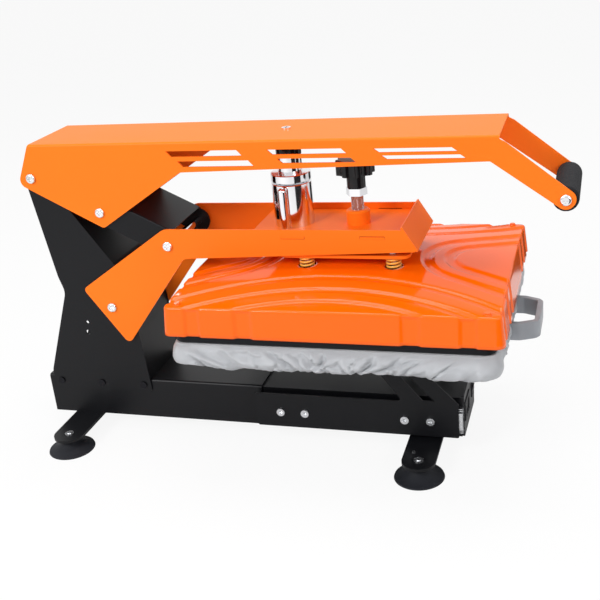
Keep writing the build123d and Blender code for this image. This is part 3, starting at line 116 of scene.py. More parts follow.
# a material, or the world when one is given, with the nodes that its looks need
class Finish:
    def __init__(self, name, world=None):
        self.material = world or bpy.data.materials.new(name)
        self.material.use_nodes = True
        self.tree = self.material.node_tree
        if not world:
            self.shader = self.tree.nodes["Principled BSDF"]
            self.place = self.add("ShaderNodeTexCoord", {}, {}, "Object")

    def add(self, kind, settings, sockets, out=0):
        node = self.tree.nodes.new(kind)
        for key, value in settings.items():
            setattr(node, key, value)
        self.fill(node, sockets)
        return Wire(self, node.outputs[out])

    # a wire is linked to its socket, and a plain value set
    def fill(self, node, sockets):
        for key, value in sockets.items():
            if isinstance(value, Wire):
                self.tree.links.new(value.socket, node.inputs[key])
            else:
                node.inputs[key].default_value = value

    def put(self, sockets):
        self.fill(self.shader, sockets)

    def axis(self, name):
        return self.add("ShaderNodeSeparateXYZ", {}, {"Vector": self.place}, name)

    def grain(self, scale, detail, vector=None):
        sockets = {"Vector": vector or self.place, "Scale": scale, "Detail": detail}
        return self.add("ShaderNodeTexNoise", {}, sockets, "Fac")

    # the colours of a mix node are its sockets 6 and 7, and its output 2
    def mix(self, factor, a, b):
        return self.add("ShaderNodeMix", {"data_type": "RGBA"}, {0: factor, 6: a, 7: b}, 2)

    def relief(self, height, depth):
        sockets = {"Height": height, "Distance": depth, "Strength": 1.0}
        return self.add("ShaderNodeBump", {}, sockets, "Normal")

    def stretched(self, scale):
        return self.add("ShaderNodeMapping", {}, {"Vector": self.place, "Scale": scale})


def shade(colour, share=1.0):
    return tuple(min(1.0, part * share) for part in colour) + (1.0,)


# coats of paint: broad clouding, orange peel and a little dust
paintWays = {
    "dark": 0.93, "light": 1.05, "broadDetail": 3.0, "peelDetail": 1.0,
    "dustScale": 0.4, "dustDetail": 4.0, "dustPower": 4.0, "dustColour": (0.55, 0.55, 0.55),
    "broadRoughness": 0.08, "peelRoughness": 0.05, "midRoughness": 0.06, "coatRoughness": 0.06,
    "tabShare": 0.8, "tabColour": (0.12, 0.015, 0.002),
}
paints = {
    "orangeSatin": {"colour": (0.95, 0.182, 0.008), "roughness": 0.42, "broad": 6.0, "peel": 900.0,
                    "depth": 0.00004, "coat": 0.0, "gloss": 0.16, "dust": 0.01},
    "orangeGloss": {"colour": (0.95, 0.128, 0.001), "roughness": 0.13, "broad": 5.0, "peel": 220.0,
                    "depth": 0.00003, "coat": 0.24, "gloss": 0.14, "dust": 0.0},
    "blackCoat": {"colour": (0.0045, 0.0047, 0.006), "roughness": 0.36, "broad": 9.0, "peel": 900.0,
                  "depth": 0.00004, "coat": 0.0, "gloss": 0.2, "dust": 0.01},
    "springYellow": {"colour": (0.86, 0.46, 0.07), "roughness": 0.34, "broad": 60.0, "peel": 900.0,
                     "depth": 0.00005, "coat": 0.2, "gloss": 0.4, "dust": 0.01},
    "darkPlaten": {"colour": (0.004, 0.0045, 0.006), "roughness": 0.4, "broad": 14.0, "peel": 800.0,
                   "depth": 0.00006, "coat": 0.0, "gloss": 0.15, "dust": 0.01},
}
# tab slots of the arm's plates: middles along the arm and up, half the length and height, half the line
paints["orangeArm"] = dict(paints["orangeSatin"], tabs=[(0.033, 0.3793), (0.162, 0.3804)],
                           tabHalf=(0.0192, 0.0016), tabLine=0.0008)


def painted(name, look):
    finish, ways = Finish(name), paintWays
    broad = finish.grain(look["broad"], ways["broadDetail"])
    peel = finish.grain(look["peel"], ways["peelDetail"])
    dust = finish.grain(look["peel"] * ways["dustScale"], ways["dustDetail"]) ** ways["dustPower"]
    colour = finish.mix(broad, shade(look["colour"], ways["dark"]), shade(look["colour"], ways["light"]))
    colour = finish.mix(dust * look["dust"], colour, shade(ways["dustColour"]))
    for tabX, tabZ in look.get("tabs", ()):
        side = (finish.axis("X") - tabX).size() - look["tabHalf"][0]
        up = (finish.axis("Z") - tabZ).size() - look["tabHalf"][1]
        outline = side.larger(up).size() < look["tabLine"]
        colour = finish.mix(outline * ways["tabShare"], colour, shade(ways["tabColour"]))
    uneven = broad * ways["broadRoughness"] + peel * ways["peelRoughness"]
    finish.put({
        "Base Color": colour,
        "Roughness": uneven + look["roughness"] - ways["midRoughness"],
        "Normal": finish.relief(peel, look["depth"]),
        "Coat Weight": look["coat"],
        "Coat Roughness": ways["coatRoughness"],
        "Specular IOR Level": look["gloss"],
    })
    return finish.material


# bare and plated metal: clouding and fine streaks, a thread by its pitch, and dark heads low on the stand
metalWays = {
    "dark": 0.82, "light": 1.08, "cloudDetail": 4.0, "streakDetail": 2.0,
    "lowColour": (0.02, 0.02, 0.023), "threadShare": 0.3,
}
metals = {
    "chrome": {"colour": (0.86, 0.86, 0.88), "roughness": 0.09, "spread": 0.04, "cloud": 14.0,
               "streak": 260.0, "along": (1.0, 1.0, 0.08), "depth": 0.00001},
    "zinc": {"colour": (0.74, 0.75, 0.77), "roughness": 0.27, "spread": 0.09, "cloud": 120.0,
             "streak": 240.0, "along": (0.1, 1.0, 1.0), "depth": 0.000004},
    "twoTone": {"colour": (0.80, 0.81, 0.82), "roughness": 0.2, "spread": 0.06, "cloud": 120.0,
                "streak": 240.0, "along": (0.1, 1.0, 1.0), "depth": 0.000004, "darkBelow": 0.130},
    "threaded": {"colour": (0.62, 0.62, 0.64), "roughness": 0.2, "spread": 0.05, "cloud": 60.0,
                 "streak": 300.0, "along": (1.0, 1.0, 0.1), "thread": 0.002},
    "aluminium": {"colour": (0.72, 0.73, 0.75), "roughness": 0.36, "spread": 0.08, "cloud": 20.0,
                  "streak": 300.0, "along": (0.05, 1.0, 1.0), "depth": 0.000005},
}


def metal(name, look):
    finish, ways = Finish(name), metalWays
    cloud = finish.grain(look["cloud"], ways["cloudDetail"])
    streak = finish.grain(look["streak"], ways["streakDetail"], finish.stretched(look["along"]))
    colour = finish.mix(cloud, shade(look["colour"], ways["dark"]), shade(look["colour"], ways["light"]))
    if "darkBelow" in look:
        colour = finish.mix(finish.axis("Z") < look["darkBelow"], colour, shade(ways["lowColour"]))
    if "thread" in look:
        turns = (finish.axis("Z") * (2 * math.pi / look["thread"])).sine()
        normal = finish.relief(turns, look["thread"] * ways["threadShare"])
    else:
        normal = finish.relief(streak, look["depth"])
    uneven = cloud * look["spread"] + streak * look["spread"]
    finish.put({
        "Base Color": colour,
        "Metallic": 1.0,
        "Roughness": uneven + look["roughness"] - look["spread"],
        "Normal": normal,
    })
    return finish.material


# plastic, rubber, foam and board: a fine pebble, and the pale strip at the front panel's far edge
mouldWays = {
    "dark": 0.8, "light": 1.2, "cloudDetail": 4.0, "cloudRoughness": 0.16, "midRoughness": 0.08,
    "coatRoughness": 0.1, "gloss": 0.22,
}
mouldings = {
    "blackPlastic": {"colour": (0.005, 0.005, 0.006), "roughness": 0.2, "cloud": 30.0, "pebble": 900.0,
                     "depth": 0.00002, "coat": 0.15},
    "matteBlack": {"colour": (0.012, 0.012, 0.014), "roughness": 0.5, "cloud": 40.0, "pebble": 1400.0,
                   "depth": 0.00006, "coat": 0.0},
    "palePanel": {"colour": (0.008, 0.008, 0.010), "roughness": 0.4, "cloud": 20.0, "pebble": 1600.0,
                  "depth": 0.00003, "coat": 0.1, "pale": (0.62, 0.62, 0.60), "paleFrom": (0.0565, 0.060)},
    "rubber": {"colour": (0.012, 0.013, 0.017), "roughness": 0.62, "cloud": 45.0, "pebble": 900.0,
               "depth": 0.0001, "coat": 0.0},
    "foam": {"colour": (0.012, 0.012, 0.014), "roughness": 0.8, "cloud": 60.0, "pebble": 620.0,
             "depth": 0.00035, "coat": 0.0},
    "silicone": {"colour": (0.62, 0.16, 0.09), "roughness": 0.7, "cloud": 30.0, "pebble": 500.0,
                 "depth": 0.0002, "coat": 0.0},
    "insulation": {"colour": (0.74, 0.72, 0.66), "roughness": 0.9, "cloud": 50.0, "pebble": 260.0,
                   "depth": 0.0003, "coat": 0.0},
    "greyHandle": {"colour": (0.30, 0.315, 0.34), "roughness": 0.42, "cloud": 24.0, "pebble": 1200.0,
                   "depth": 0.00004, "coat": 0.1},
}


def moulded(name, look):
    finish, ways = Finish(name), mouldWays
    sockets = {"Vector": finish.place, "Scale": look["pebble"]}
    pebble = finish.add("ShaderNodeTexVoronoi", {}, sockets, "Distance")
    cloud = finish.grain(look["cloud"], ways["cloudDetail"])
    colour = finish.mix(cloud, shade(look["colour"], ways["dark"]), shade(look["colour"], ways["light"]))
    if "pale" in look:
        strip = (finish.axis("Y") > look["paleFrom"][0]) * (finish.axis("Z") > look["paleFrom"][1])
        colour = finish.mix(strip, colour, shade(look["pale"]))
    finish.put({
        "Base Color": colour,
        "Roughness": cloud * ways["cloudRoughness"] + look["roughness"] - ways["midRoughness"],
        "Normal": finish.relief(pebble, look["depth"]),
        "Coat Weight": look["coat"],
        "Coat Roughness": ways["coatRoughness"],
        "Specular IOR Level": ways["gloss"],
    })
    return finish.material


# coated fabric: weave, fine creases and a metallic sheen
clothWays = {
    "dark": 0.9, "light": 1.08, "cloudDetail": 4.0, "creaseDetail": 5.0, "cloudRoughness": 0.1,
    "midRoughness": 0.05, "weaveShare": 0.2, "weftSlant": 0.5, "sheen": 0.25,
}
cloths = {
    "silverCloth": {"colour": (0.50, 0.515, 0.54), "roughness": 0.36, "metallic": 0.5, "thread": 0.0011,
                    "cloud": 25.0, "crease": 60.0, "creaseShare": 1.6, "depth": 0.0009},
}


def woven(name, look):
    finish, ways = Finish(name), clothWays
    across, along, up = finish.axis("X"), finish.axis("Y"), finish.axis("Z")
    threads = 2 * math.pi / look["thread"]
    warp = ((across + along) * threads).sine()
    weft = ((up + along * ways["weftSlant"]) * threads).sine()
    cloud = finish.grain(look["cloud"], ways["cloudDetail"])
    crease = finish.grain(look["crease"], ways["creaseDetail"])
    colour = finish.mix(cloud, shade(look["colour"], ways["dark"]), shade(look["colour"], ways["light"]))
    height = warp * weft * ways["weaveShare"] + crease * look["creaseShare"]
    finish.put({
        "Base Color": colour,
        "Roughness": look["roughness"] + cloud * ways["cloudRoughness"] - ways["midRoughness"],
        "Metallic": look["metallic"],
        "Sheen Weight": ways["sheen"],
        "Normal": finish.relief(height, look["depth"]),
    })
    return finish.material


finishes = {}
for maker, table in ((painted, paints), (metal, metals), (moulded, mouldings), (woven, cloths)):
    for name, look in table.items():
        finishes[name] = maker(name, look)
print("finishes:", len(finishes))

# the finish that shows each of the record's material slots, and the nodes that have one of their own
slotFinish = {
    "black_coat": "blackCoat", "orange_satin": "orangeSatin", "orange_gloss": "orangeGloss",
    "chrome": "chrome", "zinc": "zinc", "aluminium": "aluminium", "dark_platen": "darkPlaten",
    "black_plastic": "blackPlastic", "matte_black": "matteBlack", "pale_panel": "palePanel",
    "rubber": "rubber", "foam": "foam", "silicone": "silicone", "silver_cloth": "silverCloth",
    "insulation": "insulation", "spring_yellow": "springYellow", "grey_handle": "greyHandle",
}
ownFinish = {
    "stand_screws": "twoTone", "pressure_screw": "threaded", "lock_nut": "chrome",
    "cover_screws": "orangeGloss", "arm_plate_left": "orangeArm", "arm_plate_right": "orangeArm",
}


def dress(piece, finishName):
    piece.data.materials.clear()
    piece.data.materials.append(finishes[finishName])


for part in frame["record"]["subparts"]:
    name = part["node"]
    dress(nodes[name], ownFinish.get(name, slotFinish[part["material_slot"]]))
print("frame nodes dressed:", len(nodes))


# extrusion leaves edges and faces in another order each run, so they are put in order of their points
def putInOrder(build):
    build.verts.index_update()
    for parts in (build.edges, build.faces):
        ranked = sorted(parts, key=lambda part: sorted(vert.index for vert in part.verts))
        for index, part in enumerate(ranked):
            part.index = index
        parts.sort()


def newObject(name, build):
    mesh = bpy.data.meshes.new(name)
    putInOrder(build)
    build.to_mesh(mesh)
    build.free()
    piece = bpy.data.objects.new(name, mesh)
    scene.collection.objects.link(piece)
    return piece


def newPiece(name, build, finishName, body, replaced=()):
    piece = newObject(name, build)
    for face in piece.data.polygons:
        face.use_smooth = True
    dress(piece, finishName)
    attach(piece, body)
    if replaced:
        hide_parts(*replaced)
    return piece


def ease(share):
    share = max(0.0, min(1.0, share))
    return share * share * (3 - 2 * share)


def keyOf(vert):
    return (round(vert.co.x, 6), round(vert.co.y, 6), round(vert.co.z, 6))


# draws the open edge on, ring by ring: facts, by position, say what each edge point is, and placeOf
# gives its next place from them
def growRings(build, facts, steps, placeOf):
    ring = [edge for edge in build.edges if len(edge.link_faces) < 2]
    for step in steps:
        made = bmesh.ops.extrude_edge_only(build, edges=ring)["geom"]
        fresh = [item for item in made if isinstance(item, bmesh.types.BMVert)]
        freshSet = set(fresh)
        nextFacts = {}
        for vert in fresh:
            fact = facts[keyOf(vert)]
            vert.co = placeOf(fact, *step)
            nextFacts[keyOf(vert)] = fact
        facts = nextFacts
        edges = [item for item in made if isinstance(item, bmesh.types.BMEdge)]
        ring = [edge for edge in edges if all(vert in freshSet for vert in edge.verts)]


# steps for growRings: share of the bend, and share of the wall below it
def bendAndWall(bendRings, wallRings):
    bend = [(ring / bendRings, 0.0) for ring in range(1, bendRings + 1)]
    return bend + [(1.0, ring / wallRings) for ring in range(1, wallRings + 1)]


def unitGrid(cellsX, cellsY):
    build = bmesh.new()
    bmesh.ops.create_grid(build, x_segments=cellsX, y_segments=cellsY, size=1.0)
    return build, max(vert.co.x for vert in build.verts)


def roundEdges(build, edges, width, segments):
    bmesh.ops.bevel(build, geom=edges, offset=width, segments=segments, profile=0.5,
                    affect="EDGES", material=-1)


# a point of the unit square, on a rectangle with round corners, and the way out from there
def ontoRim(across, along, halfX, halfY, corner):
    x, y = across * halfX, along * halfY
    inX, inY = abs(x) - (halfX - corner), abs(y) - (halfY - corner)
    onEnd = abs(across) > 1 - tolerance
    normal = Vector((math.copysign(1.0, x), 0.0)) if onEnd else Vector((0.0, math.copysign(1.0, y)))
    if inX > 0 and inY > 0:
        pull = max(inX, inY) / math.hypot(inX, inY)
        inX, inY = inX * pull, inY * pull
        normal = Vector((math.copysign(inX, x), math.copysign(inY, y))).normalized()
        x = math.copysign(halfX - corner + inX, x)
        y = math.copysign(halfY - corner + inY, y)
    return x, y, normal


# cover of the upper platen: crowned top, and grooves that run on down the walls
coverShape = {
    "centreX": 0.1125, "halfX": 0.2635, "halfY": 0.2075, "bottom": 0.2635, "rim": 0.3095,
    "draft": math.tan(math.radians(6.0)), "corner": 0.0055, "rimRadius": 0.004,
    "riseMiddle": 0.0200, "riseEnd": 0.0080, "reachX": 0.2695,
    "depth": 0.0034, "recess": 0.0034, "soft": 0.0046, "wallSoft": 0.0027, "wall": 0.0022,
    # nearest to the middle, radius of the far edge, width
    "sideGrooves": [(0.091, 0.440, 0.012), (0.133, 0.410, 0.012), (0.1685, 0.343, 0.010)],
    # corner of the sides, bend of the near edge, width
    "endBows": [(0.115, 0.047, 0.016), (0.040, 0.082, 0.016)],
    "bowAngle": math.radians(28.5),
    "cellsX": 204, "cellsY": 160, "rimRings": 4, "wallRings": 7,
    "springHoles": [(0.077, 0.052), (-0.065, 0.052), (0.077, -0.052), (-0.065, -0.052)],
    "holeRadius": 0.0143, "holeSnap": 0.00135,
}


def grooveAt(x, y, soft):
    shape = coverShape
    x, y, deepest = abs(x), abs(y), 0.0
    lean, rise = math.cos(shape["bowAngle"]), math.sin(shape["bowAngle"])
    for near, radius, width in shape["sideGrooves"]:
        off = abs(math.hypot(x, near + radius - y) - (radius - width / 2))
        deepest = max(deepest, ease((width / 2 + soft / 2 - off) / soft))
    for corner, bend, width in shape["endBows"]:
        tip = x - corner - bend / rise
        onBend = tip * lean + y * rise < 0
        away = math.hypot(tip, y) if onBend else y * lean - tip * rise
        off = abs(away - bend - width / 2)
        deepest = max(deepest, ease((width / 2 + soft / 2 - off) / soft))
    return deepest


def crownAt(x, y):
    shape = coverShape
    rise = shape["riseMiddle"] - (shape["riseMiddle"] - shape["riseEnd"]) * (x / shape["reachX"]) ** 2
    return shape["rim"] + rise * (1 - (y / shape["halfY"]) ** 2)


# points near a spring hole's edge are drawn onto it
def snapToHoles(x, y):
    shape = coverShape
    for holeX, holeY in shape["springHoles"]:
        reach = math.hypot(x - holeX, y - holeY)
        if abs(reach - shape["holeRadius"]) < shape["holeSnap"]:
            pull = shape["holeRadius"] / reach
            x, y = holeX + (x - holeX) * pull, holeY + (y - holeY) * pull
    return x, y


def inHole(face):
    shape, middle = coverShape, face.calc_center_median()
    x, y = middle.x - shape["centreX"], middle.y
    reaches = [math.hypot(x - holeX, y - holeY) for holeX, holeY in shape["springHoles"]]
    return min(reaches) < shape["holeRadius"]


def coverWall(fact, turn, fall):
    shape = coverShape
    foot, normal, top, groove, channel = fact
    angle = turn * math.pi / 2
    wallTop = top - shape["rimRadius"]
    drop = fall * (wallTop - shape["bottom"])
    out = shape["rimRadius"] * math.sin(angle) + drop * shape["draft"] - shape["recess"] * channel * turn
    side = foot + normal * out
    up = wallTop + (shape["rimRadius"] - shape["depth"] * groove) * math.cos(angle) - drop
    return side.x, side.y, up


def makeCover():
    shape = coverShape
    build, span = unitGrid(shape["cellsX"], shape["cellsY"])
    rimIn = (shape["rim"] - shape["rimRadius"] - shape["bottom"]) * shape["draft"] + shape["rimRadius"]
    facts = {}
    for vert in build.verts:
        across, along = vert.co.x / span, vert.co.y / span
        halfX = shape["halfX"] - rimIn - shape["riseEnd"] * (1 - along * along) * shape["draft"]
        x, y, normal = ontoRim(across, along, halfX, shape["halfY"] - rimIn, shape["corner"])
        x, y = snapToHoles(x, y)
        groove, top = grooveAt(x, y, shape["soft"]), crownAt(x, y)
        vert.co = (x + shape["centreX"], y, top - shape["depth"] * groove)
        if vert.is_boundary:
            channel = grooveAt(x, y, shape["wallSoft"])
            facts[keyOf(vert)] = (Vector((x + shape["centreX"], y)), normal, top, groove, channel)
    growRings(build, facts, bendAndWall(shape["rimRings"], shape["wallRings"]), coverWall)
    bmesh.ops.delete(build, geom=[face for face in build.faces if inHole(face)], context="FACES")
    bmesh.ops.recalc_face_normals(build, faces=build.faces)
    cover = newPiece("platenCover", build, "orangeGloss", "heat_platen", ["platen_cover"])
    shell = cover.modifiers.new("shell", "SOLIDIFY")
    shell.thickness = shape["wall"]
    shell.offset = -1.0


makeCover()
print("platen cover")

# bosses that stand through the cover's corners
bossShape = {
    "centreX": 0.1125, "top": 0.3125, "foot": 0.3000, "radius": 0.0062, "flare": 1.12, "segments": 40,
    "bevel": 0.0012, "bevelSegments": 3,
    "spots": [(0.238, 0.1925), (0.238, -0.1925), (-0.238, 0.1925), (-0.238, -0.1925)],
}


def makeBosses():
    shape, build = bossShape, bmesh.new()
    height = shape["top"] - shape["foot"]
    for x, y in shape["spots"]:
        cone = bmesh.ops.create_cone(build, cap_ends=True, segments=shape["segments"], depth=height,
                                     radius1=shape["radius"] * shape["flare"], radius2=shape["radius"])
        middle = (x + shape["centreX"], y, shape["foot"] + height / 2)
        bmesh.ops.translate(build, verts=cone["verts"], vec=middle)
    highest = shape["top"] - tolerance
    rims = [edge for edge in build.edges if all(vert.co.z > highest for vert in edge.verts)]
    roundEdges(build, rims, shape["bevel"], shape["bevelSegments"])
    newPiece("coverBosses", build, "orangeGloss", "heat_platen")


makeBosses()
print("cover bosses")

# silicone pad under the fabric
padShape = {
    "centreX": 0.1125, "halfX": 0.2499, "halfY": 0.1999, "corner": 0.012, "low": 0.2391, "high": 0.2480,
    "bevel": 0.0012, "bevelSegments": 2, "edgeAngle": 1.2, "cellsX": 50, "cellsY": 40,
}


def makePad():
    shape = padShape
    build, span = unitGrid(shape["cellsX"], shape["cellsY"])
    for vert in build.verts:
        x, y, _ = ontoRim(vert.co.x / span, vert.co.y / span, shape["halfX"], shape["halfY"], shape["corner"])
        vert.co = (x + shape["centreX"], y, shape["low"])
    made = bmesh.ops.extrude_face_region(build, geom=list(build.faces))["geom"]
    raised = [item for item in made if isinstance(item, bmesh.types.BMVert)]
    bmesh.ops.translate(build, verts=raised, vec=(0, 0, shape["high"] - shape["low"]))
    bmesh.ops.recalc_face_normals(build, faces=build.faces)
    paired = [edge for edge in build.edges if len(edge.link_faces) == 2]
    rims = [edge for edge in paired if edge.calc_face_angle() > shape["edgeAngle"]]
    roundEdges(build, rims, shape["bevel"], shape["bevelSegments"])
    pad = newPiece("siliconePad", build, "silicone", "drawer", ["silicone_pad"])


makePad()
print("silicone pad")

# fabric cover of the lower platen: flat top, gathered skirt, hem drawn under
clothShape = {
    "centreX": 0.1125, "halfX": 0.2512, "halfY": 0.2012, "corner": 0.0135, "endShare": 0.9,
    "top": 0.2490, "edgeRadius": 0.0030, "hem": 0.2055, "cellsX": 150, "cellsY": 120,
    "edgeRings": 3, "skirtRings": 18, "cloth": 0.0007, "flat": (0.620, 0.520),
    "swell": 0.0072, "swellReach": 1.05, "swellPower": 0.8,
    "drawIn": 0.0050, "drawInFrom": 0.80,
    "platenBottom": 0.2265, "leastOut": -0.0003,   # the skirt stays outside the platen above its bottom
    "pullSlots": 0.052, "slotHalf": 0.0062, "slotTop": 0.2385, "slotFrom": 0.3500,
    "hemWave": 0.0070, "hemRate": 13.0, "hemSeed": 5.1, "hemSlowFrom": 0.85, "hemSlowShare": 0.75,
}
# folds of the skirt: they lean towards the middle on the way down, and die out at the corners
foldShape = {
    "slant": 0.055, "slantReach": 0.09, "calmCorner": 0.035, "calmTop": 3.0,
    "depth": 0.0150, "rate": 22.0, "fall": 0.6, "seed": 7.3, "steepness": 3.2, "width": 0.62,
    "bend": 0.018, "bendRate": 9.0, "bendFall": 1.7, "bendSeed": 3.1,
    "nextRate": 1.9, "nextShare": 0.75, "nextLeast": 0.08, "nextSeed": 2.2,
    "fineDepth": 0.0018, "fineRate": 85.0, "fineFall": 2.1,
}


def foldAt(x, y, down):
    shape, folds = clothShape, foldShape
    onEnd = shape["halfX"] - abs(x) < shape["corner"] * shape["endShare"]
    along, reach = (y, shape["halfY"]) if onEnd else (x, shape["halfX"])
    side = (2 if onEnd else 1) * math.copysign(1, x if onEnd else y)
    grow = ease(down * folds["calmTop"])
    calm = ease((reach - shape["corner"] - abs(along)) / folds["calmCorner"]) * grow
    slanted = along + folds["slant"] * down * math.tanh(along / folds["slantReach"])
    spot = (slanted * folds["bendRate"], down * folds["bendFall"], side * folds["bendSeed"])
    bend = noise.noise(spot) * folds["bend"]
    spot = ((slanted + bend) * folds["rate"], down * folds["fall"], side * folds["seed"])
    crease = abs(noise.noise(spot))
    spot = ((slanted - bend) * folds["rate"] * folds["nextRate"], down, side * folds["nextSeed"])
    crease = min(crease, folds["nextShare"] * abs(noise.noise(spot)) + folds["nextLeast"])
    fine = noise.noise((x * folds["fineRate"], y * folds["fineRate"], down * folds["fineFall"]))
    inward = folds["depth"] * min(0.0, folds["steepness"] * crease - folds["width"]) * calm
    return inward + folds["fineDepth"] * fine * grow


def skirtPlace(fact, turn, down):
    shape = clothShape
    x, y, normal = fact
    angle = turn * math.pi / 2
    out, up = 0.0, shape["top"] - shape["edgeRadius"] * (1 - math.cos(angle))
    if down:
        swell = math.sin(math.pi * min(1.0, down * shape["swellReach"])) ** shape["swellPower"]
        tuck = ease((down - shape["drawInFrom"]) / (1 - shape["drawInFrom"]))
        out = foldAt(x, y, down) + shape["swell"] * swell - shape["drawIn"] * tuck
        wave = noise.noise((x * shape["hemRate"], y * shape["hemRate"], shape["hemSeed"]))
        slow = shape["hemSlowFrom"] + (down - shape["hemSlowFrom"]) * shape["hemSlowShare"]
        fall = down if down < shape["hemSlowFrom"] else slow
        start = shape["top"] - shape["edgeRadius"]
        up = start - (start - shape["hem"] - shape["hemWave"] * wave * down) * fall
    if up > shape["platenBottom"]:
        out = max(out, shape["leastOut"])
    out += shape["edgeRadius"] * math.sin(angle)
    return x + normal.x * out + shape["centreX"], y + normal.y * out, up


def inPullSlot(face):
    shape, middle = clothShape, face.calc_center_median()
    beside = abs(abs(middle.y) - shape["pullSlots"]) < shape["slotHalf"]
    return middle.x > shape["slotFrom"] and middle.z < shape["slotTop"] and beside


def makeCloth():
    shape = clothShape
    build, span = unitGrid(shape["cellsX"], shape["cellsY"])
    halfX, halfY = shape["halfX"] - shape["edgeRadius"], shape["halfY"] - shape["edgeRadius"]
    facts = {}
    for vert in build.verts:
        x, y, normal = ontoRim(vert.co.x / span, vert.co.y / span, halfX, halfY, shape["corner"])
        vert.co = (x + shape["centreX"], y, shape["top"])
        if vert.is_boundary:
            facts[keyOf(vert)] = (x, y, normal)
    growRings(build, facts, bendAndWall(shape["edgeRings"], shape["skirtRings"]), skirtPlace)
    bmesh.ops.delete(build, geom=[face for face in build.faces if inPullSlot(face)], context="FACES")
    bmesh.ops.recalc_face_normals(build, faces=build.faces)
    cloth = newPiece("padClothCover", build, "silverCloth", "drawer", ["pad_cover"])
    thick = cloth.modifiers.new("cloth", "SOLIDIFY")
    thick.thickness = shape["cloth"]
    thick.offset = 0.0


makeCloth()
print("fabric cover")

# foam sleeve on the handle's grip
gripShape = {
    "centre": (0.4499, 0.4406), "inner": 0.01125, "outer": 0.0192, "half": 0.0671, "endRadius": 0.0035,
    "endRings": 4, "segments": 96, "rings": 130, "crinkle": 0.00075, "crinkleFrom": 0.9, "seed": 3.1,
    "roundRate": 2.4, "alongRate": 130.0, "fineRate": 2.3, "fineShare": 0.5,
    "width": 0.55, "steepness": 2.2,
}


def gripPlace(turn, radius, along):
    shape = gripShape
    spot = Vector((math.cos(turn) * shape["roundRate"], along * shape["alongRate"],
                   math.sin(turn) * shape["roundRate"] + shape["seed"]))
    crease = abs(noise.noise(spot)) + shape["fineShare"] * abs(noise.noise(spot * shape["fineRate"]))
    if radius > shape["outer"] * shape["crinkleFrom"]:
        radius -= shape["crinkle"] * max(0.0, shape["width"] - shape["steepness"] * crease)
    return radius * math.cos(turn), along, radius * math.sin(turn)


def makeGrip():
    shape, build = gripShape, bmesh.new()
    bmesh.ops.create_circle(build, cap_ends=False, segments=shape["segments"], radius=shape["inner"])
    upright = Matrix.Rotation(math.pi / 2, 3, "X")
    bmesh.ops.rotate(build, verts=build.verts, cent=(0, 0, 0), matrix=upright)
    bmesh.ops.translate(build, verts=build.verts, vec=(0, -shape["half"], 0))
    ends = []
    for ring in range(shape["endRings"] + 1):
        angle = ring * math.pi / (2 * shape["endRings"])
        ends.append((shape["outer"] - shape["endRadius"] * (1 - math.sin(angle)),
                     shape["half"] - shape["endRadius"] * (1 - math.cos(angle))))
    flat = shape["half"] - shape["endRadius"]
    middle = [-flat + 2 * flat * ring / shape["rings"] for ring in range(1, shape["rings"])]
    profile = [(radius, -along) for radius, along in ends]
    profile += [(shape["outer"], along) for along in middle]
    profile += list(reversed(ends)) + [(shape["inner"], shape["half"])]
    facts = {keyOf(vert): math.atan2(vert.co.z, vert.co.x) for vert in build.verts}
    growRings(build, facts, profile, gripPlace)
    bmesh.ops.bridge_loops(build, edges=[edge for edge in build.edges if edge.is_boundary])
    bmesh.ops.translate(build, verts=build.verts, vec=(shape["centre"][0], 0, shape["centre"][1]))
    bmesh.ops.recalc_face_normals(build, faces=build.faces)
    foam = newPiece("gripFoam", build, "foam", "handle", ["grip_foam"])


makeGrip()
print("grip foam")


def makeCamera():
    view = cameraView
    data = bpy.data.cameras.new("photoCamera")
    data.sensor_width = view["sensor"]
    data.lens = view["lens"]
    data.clip_start = view["nearest"]
    data.clip_end = view["farthest"]
    camera = bpy.data.objects.new("photoCamera", data)
    scene.collection.objects.link(camera)
    columns = (Vector(view["right"]), -Vector(view["down"]), -Vector(view["forward"]))
    camera.matrix_world = Matrix.Translation(view["place"]) @ Matrix(columns).transposed().to_4x4()
    scene.camera = camera


# two wires: the first is 1 on rays from the camera, the other on mirrored and refracted rays
def whiteRays(finish):
    seen, glossy, through = [finish.add("ShaderNodeLightPath", {}, {}, ray) for ray in
                             ("Is Camera Ray", "Is Glossy Ray", "Is Transmission Ray")]
    return seen, glossy.larger(through)


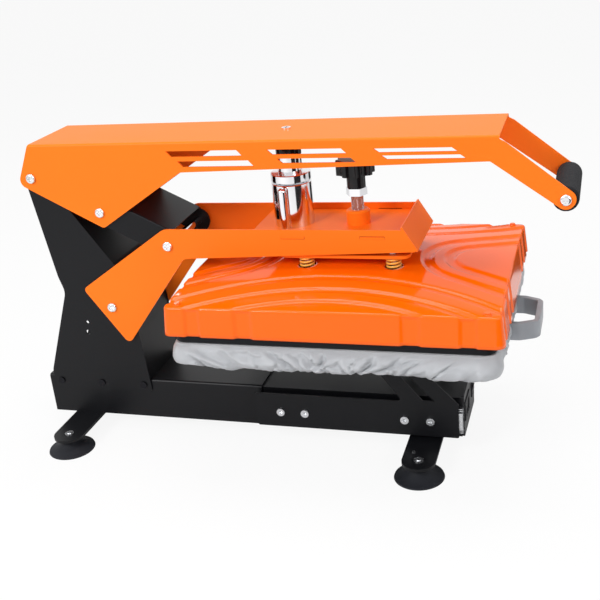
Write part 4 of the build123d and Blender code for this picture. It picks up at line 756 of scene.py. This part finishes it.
def makeFloor():
    build = bmesh.new()
    bmesh.ops.create_grid(build, x_segments=1, y_segments=1, size=studio["floorHalf"])
    floor = newObject("studioFloor", build)
    paper = Finish("studioPaper")
    paper.put({"Base Color": shade((studio["floorWhite"],) * 3), "Roughness": studio["floorRoughness"]})
    glow = paper.add("ShaderNodeEmission", {}, {"Color": (1, 1, 1, 1), "Strength": 1.0})
    seen, mirrored = whiteRays(paper)
    share = seen * studio["floorGlow"] + mirrored * studio["floorGlowMirrored"]
    matte = Wire(paper, paper.shader.outputs[0])
    both = paper.add("ShaderNodeMixShader", {}, {0: share, 1: matte, 2: glow})
    paper.fill(paper.tree.nodes["Material Output"], {"Surface": both})
    floor.data.materials.append(paper.material)


def makeRoom():
    scene.world = bpy.data.worlds.new("studioWorld")
    room = Finish("studioWorld", scene.world)
    seen, mirrored = whiteRays(room)
    levels = {"Value": seen.larger(mirrored), "To Min": studio["roomLight"], "To Max": 1.0}
    strength = room.add("ShaderNodeMapRange", {}, levels)
    room.fill(room.tree.nodes["Background"], {"Color": (1, 1, 1, 1), "Strength": strength})


def makeCards():
    for index, (azimuth, distance, width, height) in enumerate(studio["cards"]):
        turn, build = math.radians(azimuth), bmesh.new()
        bmesh.ops.create_grid(build, x_segments=1, y_segments=1, size=0.5)
        place = Matrix.Translation((math.cos(turn) * distance, math.sin(turn) * distance, height / 2))
        upright = Matrix.Rotation(turn, 4, "Z") @ Matrix.Rotation(math.pi / 2, 4, "Y")
        size = Matrix.Diagonal((height, width, 1.0, 1.0))
        bmesh.ops.transform(build, verts=build.verts, matrix=place @ upright @ size)
        card = newObject("studioCard%d" % index, build)
        dress(card, "matteBlack")
        for kind in ("camera", "diffuse", "shadow", "transmission"):
            setattr(card, "visible_" + kind, False)


def makeLamps():
    for name, (place, aim, size, watts) in studio["lamps"].items():
        data = bpy.data.lights.new(name, "AREA")
        data.energy = watts
        data.size = size
        lamp = bpy.data.objects.new(name, data)
        scene.collection.objects.link(lamp)
        lamp.location = place
        lamp.rotation_euler = (Vector(aim) - Vector(place)).to_track_quat("-Z", "Y").to_euler()


makeCamera()
makeFloor()
makeRoom()
makeCards()
makeLamps()
scene.view_settings.view_transform = "Standard"
print("camera and studio")
